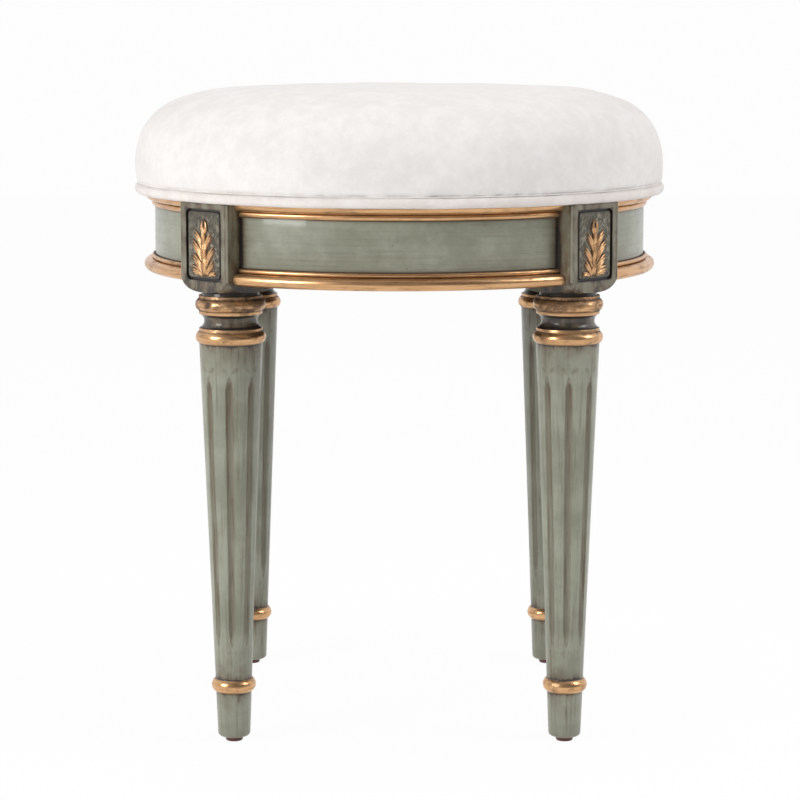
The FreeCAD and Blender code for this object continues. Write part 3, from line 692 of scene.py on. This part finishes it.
def panelMaterial():
    shader = Shader("panelPaint", Coat_Weight=0.3, Coat_Roughness=0.2)
    where = shader.places()
    clouds = shader.noise(where, 330, 5, 0.7)
    streaks = shader.grain((420, 420, 120))
    across, up = shader.spots()[1:]
    rim = (abs(across) - panel["width"] / 2).most(abs(up - block["recessMiddle"]) - panel["height"] / 2)
    broad = shader.noise(where, 70, 3, 0.6)
    pale = shader.mixed(broad.between(0.4, 0.62), panel["olive"], panel["tan"])
    base = shader.mixed(clouds.between(0.40, 0.62), panel["deep"], pale)
    toned = shader.mixed(streaks.between(0.52, 0.7) * 0.5, base, panel["brushed"])
    # the plate's border next to the gap is painted near-black: a painted shadow
    dark = shader.mixed(rim.between(-1.6, -0.1) * 0.9, toned, paint["sootAndShade"])
    shader.set(Base_Color=dark, Roughness=0.3 + 0.25 * clouds,
               Normal=shader.bump(clouds * 0.6 + streaks * 0.4, 0.3 * mm, 0.6))
    return shader.material


print("panels")
firstPanel = roundedPlate("panel", panel["front"], panel["thickness"], panel["width"],
                          panel["height"], panel["corner"])
edit(firstPanel)
selectWhere(firstPanel, "FACE", lambda face: face.normal.x > 0.9)
bpy.ops.mesh.bevel(offset=panel["edge"] * mm, segments=3, affect="EDGES")
deselect()
smooth(firstPanel, 40)
applyModifier(firstPanel, "WEIGHTED_NORMAL", keep_sharp=True)
keepSpots(firstPanel)
setOut([firstPanel], legs, block["reach"], "sunk_panel", panelMaterial(), "panel_paint", "panel")


# Leaf ornament: fingers of carving, melted into one piece that stands on the panel
leaf = {
    "ground": 25.3,            # the panel's front, less what sits in it
    "stem": [(2.6, 350.6), (1.8, 362), (1.2, 373), (0.9, 384)],
    "stemWidth": (4.8, 3.0), "stemRise": 2.6,
    "top": (0.7, 392.6),
    "outerTips": [(-10.2, 384.4), (-12.7, 377.3), (-12.4, 367.4), (-13.6, 358.5)],
    "innerTips": [(9.0, 383.1), (12.2, 373.4), (11.8, 363.3), (14.0, 354.2)],
    "drop": [11.0, 12.0, 11.0, 6.0],
    "ridges": [(-0.3, 0, 0, 2.3), (0.3, -2.3, -2.2, 2.3),     # end outwards and up, root up, width
               (-0.5, -4.6, -4.4, 2.1), (-2.2, -6.5, -6.2, 1.8)],
    "rise": 1.7, "bodyRise": 0.6, "bend": 1.1,
    "body": (7.5, 4.5),        # width of the ground under a leaflet, and under the lowest
    "hollow": (26.75, 26.0),   # the glaze gathers from the first level down to the second
    "grain": 0.25,
}


def finger(start, end, width, rise, lean=0.0):
    # one ridge of the carving: a long bead from start to end, bent by lean
    deselect()
    bpy.ops.mesh.primitive_uv_sphere_add(segments=16, ring_count=20, radius=mm)
    piece = named("finger")
    first, last = Vector(start), Vector(end)
    way = last - first
    side = Vector((-way.y, way.x)).normalized()
    for vertex in piece.data.vertices:
        along, across, out = vertex.co.z / mm, vertex.co.x / mm, vertex.co.y / mm
        share = min(max((along + 1) / 2, 0), 1)
        slim = (1 - 0.25 * share ** 2)
        if along > 0:
            slim *= math.sqrt(1 + along ** 2 + along ** 4)   # a blunt tip
        spot = first + way * share + side * (across * width / 2 * slim + lean * math.sin(math.pi * share))
        height = leaf["ground"] + out * rise * slim * (0.75 + 0.25 * math.sin(math.pi * share))
        vertex.co = Vector((height, spot.x, spot.y)) * mm
    return piece


def makeLeafOrnament(name, hand):
    # hand is 1 or -1: which side the higher tips are on
    fingers = []
    stem = leaf["stem"]
    wide, slim = leaf["stemWidth"]
    for ridge in (-1, 0, 1):
        for low, high, share in zip(stem, stem[1:], (0, 0.34, 0.67)):
            width = wide + (slim - wide) * share
            shift = ridge * width * 0.32
            begin = (low[0] + shift, max(low[1] - 1.5, stem[0][1]))
            fingers.append(finger(begin, (high[0] + shift * 0.8, high[1] + 3.5),
                                  width * 0.42, leaf["stemRise"] * (0.8 if ridge == 0 else 0.9)))
    tip = leaf["top"]
    foot = stem[-1]
    for side in (-1, 1):
        fingers.append(finger((foot[0] + side * 0.3, foot[1] - 4), (tip[0] + side * 0.5, tip[1]),
                              3.3, leaf["rise"], -side * 1.9))
    for tips, side in ((leaf["outerTips"], -1), (leaf["innerTips"], 1)):
        for number, (across, up) in enumerate(tips):
            drop = leaf["drop"][number]
            low = number / 3
            root = (stem[0][0] * low + foot[0] * (1 - low) + side * (1.2 + 0.9 * low), up - drop)
            bend = side * leaf["bend"]
            for outward, raised, rootRaised, width in leaf["ridges"]:
                if up + raised > stem[0][1] + 1:
                    begin = (root[0], max(root[1] + rootRaised, stem[0][1]))
                    end = (across + side * outward, up + raised)
                    fingers.append(finger(begin, end, width, leaf["rise"], bend))
            floorLevel = stem[0][1] + 2
            begin = (root[0], max(root[1] - 2.2, floorLevel))
            end = (root[0] + (across - root[0]) * 0.88, max(up - 3.2, floorLevel))
            fingers.append(finger(begin, end, leaf["body"][number == 3], leaf["bodyRise"], bend))
    piece = joined(*fingers)
    piece.name = name
    for vertex in piece.data.vertices:
        vertex.co.y *= hand
    if hand < 0:
        edit(piece)
        faceOutwards()
        deselect()
    applyModifier(piece, "REMESH", mode="VOXEL", voxel_size=leaf["grain"] * mm)
    edit(piece)
    bpy.ops.mesh.select_all(action="SELECT")
    bpy.ops.mesh.bisect(plane_co=((leaf["ground"] - 0.2) * mm, 0, 0), plane_no=(1, 0, 0),
                        use_fill=True, clear_inner=True)
    deselect()
    applyModifier(piece, "SMOOTH", factor=0.5, iterations=1)
    applyModifier(piece, "DECIMATE", ratio=0.45)
    smooth(piece, 60)
    keepSpots(piece)
    return piece


def leafMaterial():
    shader = Shader("leafGilt")
    outward = shader.spots()[0]
    where = shader.places()
    brushed = shader.noise(where, 420, 4, 0.6)
    patches = shader.noise(where, 110, 4, 0.6)
    hollows = outward.between(*leaf["hollow"])
    colour, wear = giltLayers(shader, brushed, patches, hollows * 0.95 - 0.08)
    shader.set(Base_Color=colour, Metallic=(gold["shine"] - 0.8 * wear).held(),
               Roughness=0.3 + 0.3 * wear, Normal=shader.bump(brushed, 0.12 * mm, 0.5))
    return shader.material


print("leaves")
leafShapes = [makeLeafOrnament("leafShape", 1), makeLeafOrnament("leafShapeMirrored", -1)]
setOut(leafShapes, legs, block["reach"], "carved_leaf", leafMaterial(), "gilt", "leaf")


# Apron boards and mouldings, each a quarter turn trimmed against the sides of two blocks
apron = {
    "inner": 168.9, "face": 188.9, "low": 345.0, "top": 403.6, "softening": 0.5,
    "bead": 191.5, "beadLow": 353.8, "beadTop": 357.4, "round": 197.4, "roundRadius": 4.4,
    "root": 189.8, "back": 189.1,
    "topBead": 191.2, "topBeadLow": 394.5, "coveLow": 398.9, "coveFoot": 192.0, "coveTop": 196.2,
    "coveRise": 1.15, "mouldingSoftening": 0.2, "steps": 72,
}


def bayPiece(name, profile, ease):
    # in its own frame the two legs stand on +X and +Y
    points = easeCorners(profile + [profile[0]], ease)
    piece = spinProfile(name, points, apron["steps"], sweep=90)
    half = block["width"] / 2 * mm
    edit(piece)
    for normal in ((1, 0, 0), (0, 1, 0)):
        bpy.ops.mesh.select_all(action="SELECT")
        bpy.ops.mesh.bisect(plane_co=(half, half, 0), plane_no=normal, use_fill=True, clear_inner=True)
    faceOutwards()
    deselect()
    smooth(piece, 40)
    keepSpots(piece)
    return piece


def boardProfile():
    a = apron
    return [(a["inner"], a["low"] + 1), (a["inner"], a["top"]), (a["face"], a["top"]),
            (a["face"], a["low"]), (a["inner"] + 1, a["low"])]


def baseProfile():
    a = apron
    middle = a["round"] - a["roundRadius"]
    points = [(a["back"], a["low"]), (middle, a["low"])]
    points += bow(points[-1], (middle, a["beadLow"]), a["roundRadius"], wideArc)
    points.append((a["root"], a["beadLow"]))
    points += bow(points[-1], (a["root"], a["beadTop"]), a["bead"] - a["root"], smallArc)
    points.append((a["back"], a["beadTop"]))
    return points


def topProfile():
    a = apron
    points = [(a["back"], a["topBeadLow"]), (a["root"], a["topBeadLow"])]
    points += bow(points[-1], (a["root"], a["coveLow"]), a["topBead"] - a["root"], smallArc)
    points.append((a["coveFoot"], a["coveLow"]))
    points += bow(points[-1], (a["coveTop"], a["top"]), a["coveRise"], smallArc)
    points.append((a["back"], a["top"]))
    return points


def apronMaterial():
    a = apron
    shader = Shader("apronPaint", Coat_Weight=paint["coat"], Coat_Roughness=paint["coatRoughness"])
    x, y, z = shader.spots()
    where = shader.places()
    streaks = shader.grain((13, 13, 560), 4, 0.62)   # run round the apron
    fine = shader.grain((110, 110, 640), 4, 0.7)
    clouds = shader.noise(where, 40, 6, 0.68)
    half = block["width"] / 2
    toBlock = (x - half).least(y - half)
    blotch = shader.noise(where, 95, 4, 0.6)
    ends = toBlock.fades(2.6) * 1.15 + toBlock.fades(8) * 0.75 * blotch
    under = (a["topBeadLow"] - z).fades(0.9) * 1.3 * (0.6 + 0.8 * clouds)
    overBead = z - a["beadTop"]
    above = overBead.fades(0.8) * 1.1 + overBead.fades(7) * 0.4 * (0.3 + streaks)
    specks = shader.noise(where, 300, 2).between(0.70, 0.78) * (0.25 + 0.6 * toBlock.fades(14))
    rubbed = ends.most(under).most(above) + specks
    colour = paintLayers(shader, streaks, fine, clouds, rubbed, 0.9)
    colour, hidden = bareInside(shader, colour, streaks)
    shader.set(Base_Color=colour, Roughness=0.38 + 0.14 * streaks + hidden * 0.3,
               Coat_Weight=(1 - hidden) * paint["coat"],
               Normal=shader.bump(streaks * 0.6 + fine * 0.4, 0.1 * mm, 0.45))
    return shader.material


def mouldingMaterial(name, lost, grooves):
    # lost is the share of gold rubbed off; each groove has its level, depth and reach
    shader = Shader(name)
    x, y, z = shader.spots()
    brushed = shader.grain((26, 26, 700))
    patches = shader.grain((45, 45, 160), 5, 0.65)
    half = block["width"] / 2
    toBlock = (x - half).least(y - half)
    radius = radiusOf(x, y)
    strokes = shader.grain((60, 60, 330), 5, 0.65)
    rubbed = toBlock.fades(1.6) * 0.8 + strokes.between(0.55, 0.68) * lost
    for level, depth, reach in grooves:
        rubbed = rubbed + (z - level).fades(reach) * radius.between(depth + 2.2, depth)
    colour, wear = giltLayers(shader, brushed, patches, rubbed)
    shader.set(Base_Color=colour, Metallic=(gold["shine"] - gold["dulled"] * wear).held(),
               Roughness=0.24 + 0.33 * wear + 0.08 * brushed,
               Normal=shader.bump(brushed * 0.5 + patches * 0.5, 0.14 * mm, 0.5))
    return shader.material


print("apron")
a = apron
baseGrooves = [(a["beadLow"], a["root"], 0.8), (a["beadTop"], a["root"], 0.3)]
topGrooves = [(a["coveLow"], a["root"], 0.25), (a["topBeadLow"], a["root"], 0.15)]
bayKinds = {  # half section, softening, material and slot
    "apron": (boardProfile(), a["softening"], apronMaterial(), "painted_wood"),
    "base_moulding": (baseProfile(), a["mouldingSoftening"],
                      mouldingMaterial("baseGilt", 0.4, baseGrooves), "gilt"),
    "top_moulding": (topProfile(), a["mouldingSoftening"],
                     mouldingMaterial("topGilt", 0.12, topGrooves), "gilt"),
}
for kind, (profile, ease, material, slotName) in bayKinds.items():
    setOut([bayPiece(kind, profile, ease)], bays, 0, "curved_" + kind, material, slotName, kind)


# Cushion: foam under a velvet cover, swollen by a cloth simulation
cushion = {
    "rim": 202.2, "rimLow": 411.55, "rimUnder": 202.15, "rimUnderLow": 411.65,
    "inside": 196.2, "hem": 170.3, "low": 403.6, "hemTop": 405.1,
    "boardHole": 194.7, "boardTop": 417.2,
    "outline": [  # (end, how far the arc to it stands off its chord)
        ((204.0, 426.8), 0.3), ((200.2, 448.6), 1.0), ((174.8, 474.0), 3.5), ((127.0, 483.0), 1.9),
        ((8.0, 485.0), 0.43), ((0.0, 485.0), 0)],
    "slack": 2.2,              # how much smaller the shape starts than it ends, in full past:
    "slackRise": 8, "slackRadius": 60, "slackCrown": (440, 45),
    "steps": 160, "voxel": 5.0,
    "held": 2.5,               # the cloth is held up to here above the rim's low edge
    "pressure": 4.0, "quality": 6, "frames": 20, "cap": 9.0,
    "ownForm": 0.09,           # share kept of the swollen form
    "cut": 1.2,                # the rim is cut here, above its low edge
    "lumps": [(17, 0.9), (45, 0.25)], "lumpsFrom": 6,    # (scale, height)
}


def cushionProfile():
    points = [(cushion["rim"], cushion["rimLow"])]
    for end, rise in cushion["outline"]:
        points += bow(points[-1], end, rise, wideArc) if rise else [end]
    return points


class Outline:
    # finds the nearest spot of a half section, and how far along it lies from the crown
    def __init__(self, points):
        self.points = []
        self.lengths = []
        length = 0.0
        for (r0, z0), (r1, z1) in zip(points[::-1], points[-2::-1]):
            span = math.hypot(r1 - r0, z1 - z0)
            steps = max(int(span / 0.5), 1)
            for step in range(steps):
                share = step / steps
                self.points.append((r0 + (r1 - r0) * share, z0 + (z1 - z0) * share))
                self.lengths.append(length + span * share)
            length += span
        self.points.append(points[0])
        self.lengths.append(length)
        self.tree = kdtree.KDTree(len(self.points))
        for number, (r, z) in enumerate(self.points):
            self.tree.insert((r, 0, z), number)
        self.tree.balance()

    def nearest(self, radius, height):
        number = self.tree.find((radius, 0, height))[1]
        best = (math.inf, 0, (0, 0))
        for first in (number - 1, number):
            if 0 <= first < len(self.points) - 1:
                (r0, z0), (r1, z1) = self.points[first], self.points[first + 1]
                dr, dz = r1 - r0, z1 - z0
                share = ((radius - r0) * dr + (height - z0) * dz) / (dr * dr + dz * dz)
                share = min(max(share, 0), 1)
                r, z = r0 + share * dr, z0 + share * dz
                gap = math.hypot(radius - r, height - z)
                if gap < best[0]:
                    length = self.lengths[first] * (1 - share) + self.lengths[first + 1] * share
                    best = (gap, length, (r, z))
        return best[1], best[2]


def swell(piece):
    # the cloth simulation, capped so that no point goes far
    c = cushion
    pick(piece)
    before = [vertex.co.copy() for vertex in piece.data.vertices]
    heldBelow = (c["rimLow"] + c["held"]) * mm
    held = piece.vertex_groups.new(name="held")
    held.add([v.index for v in piece.data.vertices if v.co.z < heldBelow], 1, "REPLACE")
    cloth = piece.modifiers.new("cloth", "CLOTH")
    cloth.settings.use_pressure = True
    cloth.settings.uniform_pressure_force = c["pressure"]
    cloth.settings.vertex_group_mass = "held"
    cloth.settings.effector_weights.gravity = 0
    cloth.settings.quality = c["quality"]
    scene = bpy.context.scene
    for number in range(c["frames"]):
        scene.frame_set(number + 1)
    bpy.ops.object.modifier_apply(modifier=cloth.name)
    scene.frame_set(1)
    cap = c["cap"] * mm
    for vertex, start in zip(piece.data.vertices, before):
        step = vertex.co - start
        if step.length > cap:
            vertex.co = start + step * (cap / step.length)


def makeCushion():
    c = cushion
    profile = cushionProfile()
    slack = c["slack"]
    crownLow, crownSpan = c["slackCrown"]
    start = [(0, c["rimLow"])]
    for r, z in profile:
        inwards = slack * min(1, (z - c["rimLow"]) / c["slackRise"]) * min(1, r / c["slackRadius"])
        start.append((max(r - inwards, 0), z - slack * max(0, (z - crownLow) / crownSpan)))
    piece = spinProfile("cushion", start, c["steps"])
    applyModifier(piece, "REMESH", mode="VOXEL", voxel_size=c["voxel"] * mm)
    swell(piece)
    # bring the swollen form to the outline, and keep part of what the cloth did by itself
    shape = Outline(profile)
    for vertex in piece.data.vertices:
        turn, radius = polar(vertex.co)
        height = vertex.co.z / mm
        if height < c["rimLow"] + 0.5:
            continue
        r, z = shape.nearest(radius, height)[1]
        keep = c["ownForm"]
        vertex.co = around(turn, r + (radius - r) * keep, z + (height - z) * keep)
    applyModifier(piece, "SUBSURF", levels=1, render_levels=1)
    edit(piece)
    bpy.ops.mesh.select_all(action="SELECT")
    bpy.ops.mesh.bisect(plane_co=(0, 0, (c["rimLow"] + c["cut"]) * mm), plane_no=(0, 0, 1),
                        clear_inner=True)
    # the cut edge is drawn in under the cover, down to the hem and back up round the board
    mesh = bmesh.from_edit_mesh(piece.data)
    bpy.ops.mesh.select_all(action="DESELECT")
    for edge in mesh.edges:
        edge.select_set(edge.is_boundary)
    bmesh.update_edit_mesh(piece.data)
    ways = [("rimUnder", "rimUnderLow"), ("inside", "rimLow"), ("inside", "low"), ("hem", "low"),
            ("hem", "hemTop"), ("boardHole", "hemTop"), ("boardHole", "boardTop")]
    for radius, height in ways:
        bpy.ops.mesh.extrude_region_move()
        mesh = bmesh.from_edit_mesh(piece.data)
        for vertex in mesh.verts:
            if vertex.select:
                vertex.co = around(polar(vertex.co)[0], c[radius], c[height])
        bmesh.update_edit_mesh(piece.data)
    bpy.ops.mesh.edge_face_add()
    faceOutwards()
    deselect()
    # small unevenness of the stuffing
    normals = [vertex.normal.copy() for vertex in piece.data.vertices]
    for vertex, normal in zip(piece.data.vertices, normals):
        if vertex.co.z > (c["rimLow"] + c["lumpsFrom"]) * mm:
            lump = sum(noise.noise(vertex.co * scale) * rise for scale, rise in c["lumps"])
            vertex.co += normal * lump * mm
    smooth(piece, 50)
    return piece


def wrapCloth(piece, shape):
    # lays the cloth flat from the crown outwards, so that the weave follows the cover
    layer = piece.data.uv_layers.new(name="cloth")
    flat = []
    for vertex in piece.data.vertices:
        turn, radius = polar(vertex.co)
        length = shape.nearest(radius, vertex.co.z / mm)[0] * mm
        flat.append((length * math.cos(turn), length * math.sin(turn)))
    for loop in piece.data.loops:
        layer.data[loop.index].uv = flat[loop.vertex_index]


velvetColours = {  # hollow, plain and brushed
    "creamVelvet": ((0.84, 0.805, 0.77), (0.905, 0.875, 0.845), (0.79, 0.755, 0.725)),
    "weltVelvet": ((0.82, 0.75, 0.70), (0.90, 0.845, 0.80), (0.75, 0.70, 0.655)),
}


def velvetMaterial(name):
    hollow, plain, brushedColour = velvetColours[name]
    shader = Shader(name, Roughness=0.9, Sheen_Weight=0.25, Sheen_Roughness=0.45,
                    Specular_IOR_Level=0.2)
    shader.surface.inputs["Sheen Tint"].default_value = (1, 0.98, 0.96, 1)
    where = shader.places()
    clouds = shader.noise(where, 62, 6, 0.7)
    nap = shader.noise(where, 240, 4, 0.7)
    flat = shader.node("ShaderNodeUVMap", {"uv_map": "cloth"}, {})
    threads = []
    for way, scale, unevenness in (("X", 260, 0.8), ("Y", 200, 0.6)):
        threads.append(shader.node(
            "ShaderNodeTexWave", {"bands_direction": way},
            {"Vector": flat, "Scale": scale, "Distortion": unevenness, "Detail": 1}, 1))
    light = shader.mixed(clouds.between(0.36, 0.66), hollow, plain)
    brushed = shader.mixed(nap.between(0.35, 0.75) * 0.3, light, brushedColour)
    weave = threads[0] * 0.6 + threads[1] * 0.4
    toned = shader.mixed(weave * 0.08, brushed, brushedColour)
    rough = shader.bump(weave, 0.12 * mm, 0.3)
    shader.set(Base_Color=toned, Normal=shader.bump(nap, 0.3 * mm, 0.3, rough))
    return shader.material


print("cushion")
velvet = velvetMaterial("creamVelvet")
seatPad = makeCushion()
seatPad.name = "velvet_cushion"
wrapCloth(seatPad, Outline(cushionProfile()))
finishPiece(seatPad, velvet, "upholstery", "seat_cover", "foam_pad")
print("cushion faces", len(seatPad.data.polygons))


# Welt: a cord sewn in the same velvet, a little uneven
welt = {
    "circle": 200.3, "radius": 3.9, "middle": 407.7,
    "uneven": [(14, 0.045), (60, 0.025)],      # (scale, share of the thickness)
    "waver": 0.25, "waverScale": 5,
}


def makeWelt():
    deselect()
    bpy.ops.mesh.primitive_torus_add(major_segments=320, minor_segments=28, location=(0, 0, 0),
                                     major_radius=welt["circle"] * mm, minor_radius=welt["radius"] * mm)
    piece = named("velvet_welt")
    layer = piece.data.uv_layers.active
    layer.name = "cloth"
    for vertex in piece.data.vertices:
        turn = polar(vertex.co)[0]
        core = Vector((math.cos(turn), math.sin(turn), 0)) * welt["circle"] * mm
        place = Vector((math.cos(turn), math.sin(turn), 0.5))
        thick = sum((share * noise.noise(place * scale) for scale, share in welt["uneven"]), 1)
        lift = welt["waver"] * noise.noise(place * welt["waverScale"] + Vector((9, 0, 0)))
        vertex.co = core + (vertex.co - core) * thick + Vector((0, 0, (welt["middle"] + lift) * mm))
    length, girth = math.tau * welt["circle"] * mm, math.tau * welt["radius"] * mm
    for loop in layer.data:
        loop.uv = (loop.uv.x * length, loop.uv.y * girth)
    smooth(piece, 60)
    return piece


print("welt")
weltCord = makeWelt()
finishPiece(weltCord, velvetMaterial("weltVelvet"), "upholstery", "welt")


# Glides
glide = {"top": 7.3, "foot": 6.0, "height": 3.6, "hole": 1.4, "seat": 3.0, "seatDepth": 2.0,
         "softening": 0.4}


def plainMaterial(name, dark, pale, roughness, scale, metallic=0.0, dent=0.1):
    # a mottled finish for the small parts and for what is hidden under the seat
    shader = Shader(name)
    mottle = shader.noise(shader.places(scale), 1, 4, 0.6)
    shader.set(Base_Color=shader.mixed(mottle.between(0.3, 0.7), dark, pale),
               Roughness=roughness + 0.15 * mottle, Metallic=metallic,
               Normal=shader.bump(mottle, dent * mm, 0.5))
    return shader.material


print("glides")
glidePlastic = plainMaterial("glidePlastic", (0.075, 0.018, 0.015), (0.13, 0.035, 0.028), 0.38,
                             (260, 260, 260))
g = glide
glideProfile = [(g["hole"], g["height"]), (g["hole"], g["seatDepth"]), (g["seat"], g["seatDepth"]),
                (g["seat"], 0), (g["foot"], 0), (g["top"], g["height"]), (g["hole"], g["height"])]
firstGlide = spinProfile("glide", easeCorners(glideProfile, g["softening"]), 64)
smooth(firstGlide, 50)
setOut([firstGlide], legs, block["reach"], "foot_glide", glidePlastic, "glide", "glide")


# Dust cover: black cloth that hangs a little between the cleats
dustCover = {"radius": 170.0, "middle": 404.65, "thickness": 0.6, "sag": 2.6, "free": 136.0,
             "slope": 60.0, "ripple": 0.35, "rippleScale": 22, "rings": 22, "ringStep": 7.4}


def makeDustCover():
    d = dustCover
    deselect()
    bpy.ops.mesh.primitive_circle_add(vertices=96, radius=d["radius"] * mm, fill_type="NGON",
                                      location=(0, 0, d["middle"] * mm))
    piece = named("dust_cloth")
    bpy.ops.object.mode_set(mode="EDIT")
    bpy.ops.mesh.select_all(action="SELECT")
    for ring in range(d["rings"]):
        bpy.ops.mesh.inset(thickness=d["ringStep"] * mm)
    bpy.ops.mesh.poke()
    deselect()
    for vertex in piece.data.vertices:
        share = min(max((d["free"] - polar(vertex.co)[1]) / d["slope"], 0), 1)
        ripple = d["ripple"] * noise.noise(Vector((vertex.co.x, vertex.co.y, 0)) * d["rippleScale"])
        vertex.co.z -= (d["sag"] * share * share * (3 - 2 * share) + ripple * share) * mm
    applyModifier(piece, "SOLIDIFY", thickness=d["thickness"] * mm, offset=0)
    smooth(piece, 40)
    return piece


print("dust cover")
dustCloth = plainMaterial("dustCloth", (0.012, 0.012, 0.013), (0.032, 0.032, 0.034), 0.85,
                          (900, 900, 900), dent=0.3)
dustSheet = makeDustCover()
finishPiece(dustSheet, dustCloth, "dust_cloth", "dust_cover")


# CAD nodes that stay, with their own finishes
print("inner parts")
bareWood = plainMaterial("bareWood", (0.30, 0.185, 0.095), (0.44, 0.30, 0.17), 0.6, (60, 60, 400))
plywood = plainMaterial("plywood", (0.40, 0.28, 0.16), (0.60, 0.46, 0.29), 0.65, (14, 160, 300))
steel = plainMaterial("zincSteel", (0.36, 0.36, 0.37), (0.60, 0.60, 0.62), 0.3, (300, 300, 300),
                      metallic=1.0)
kept = {"seat_board": plywood, "dowels": bareWood, "seat_screws": steel, "seat_washers": steel,
        "glide_nails": steel, "staples": steel}
for place in bays:
    kept["cleat_" + place] = bareWood
for name, material in kept.items():
    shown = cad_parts[name]
    shown.data.materials.clear()
    shown.data.materials.append(material)


# Floor, camera and lamps
studio = {
    "camera": (0.0005, -2.111, 0.540), "pitch": 8.09, "lens": 122.4, "sensor": 36, "floorSize": 12,
    "diffuse": 0.43, "tint": (0.95, 0.96, 1.0), "floorGlow": 0.965, "white": 0.985,
    "room": 0.25, "roomLean": 0.16, "roomFrom": (-0.45, 0.25),   # what shines sees this room
    "lamps": {  # place, aim, width, height, power
        "keyLamp": ((-1.8, -1.4, 1.1), (0, 0, 0.35), 0.9, 1.1, 28),
        "fillLamp": ((1.7, -0.5, 1.5), (0, 0, 0.4), 0.8, 1.0, 14.5),
        "topLamp": ((0.1, 0.2, 2.2), (0, 0, 0.4), 1.2, 1.2, 9),
    },
}
print("studio")
deselect()
bpy.ops.mesh.primitive_plane_add(size=studio["floorSize"], location=(0, 0, 0))
floor = named("floor")
floorShader = Shader("paleFloor", Roughness=0.9, Base_Color=(0.95, 0.95, 0.95, 1))
bright = floorShader.rays("Camera", "Glossy", "Transmission") * studio["floorGlow"]
glow = floorShader.node("ShaderNodeEmission", {}, {"Color": (1, 1, 1), "Strength": 1.0})
both = floorShader.node("ShaderNodeMixShader", {}, {0: bright, 2: glow})
floorShader.tree.links.new(floorShader.surface.outputs["BSDF"], both.socket.node.inputs[1])
floorShader.feed(floorShader.tree.nodes["Material Output"].inputs["Surface"], both)
floor.data.materials.append(floorShader.material)

world = bpy.data.worlds.new("studioAir")
bpy.context.scene.world = world
world.use_nodes = True
# The camera sees white. What shines sees white behind and below, and a dimmer room in front.
air = Nodes(world.node_tree)
seen = air.rays("Camera", "Transmission")
mirrored = air.rays("Glossy")
across, away = air.parts(air.node("ShaderNodeTexCoord", {}, {}, "Generated"))[:2]
front = studio["room"] - studio["roomLean"] * across
room = front + (1 - front) * away.between(*studio["roomFrom"])
unseen = mirrored * room + (1 - mirrored) * studio["diffuse"]
level = seen * studio["white"] + (1 - seen) * unseen
background = air.tree.nodes["Background"]
air.feed(background.inputs["Color"], air.mixed(seen, studio["tint"], (1, 1, 1)))
air.feed(background.inputs["Strength"], level)

for name, (spot, aim, width, height, power) in studio["lamps"].items():
    lamp = bpy.data.lights.new(name, "AREA")
    lamp.shape = "RECTANGLE"
    lamp.size = width
    lamp.size_y = height
    lamp.energy = power
    stand = bpy.data.objects.new(name, lamp)
    bpy.context.scene.collection.objects.link(stand)
    stand.location = spot
    stand.rotation_euler = (Vector(aim) - Vector(spot)).to_track_quat("-Z", "Y").to_euler()

camera = bpy.data.cameras.new("camera")
camera.lens = studio["lens"]
camera.sensor_width = studio["sensor"]
viewer = bpy.data.objects.new("camera", camera)
bpy.context.scene.collection.objects.link(viewer)
viewer.location = studio["camera"]
viewer.rotation_euler = (math.radians(90 - studio["pitch"]), 0, 0)
bpy.context.scene.camera = viewer
bpy.context.scene.view_settings.view_transform = "Standard"
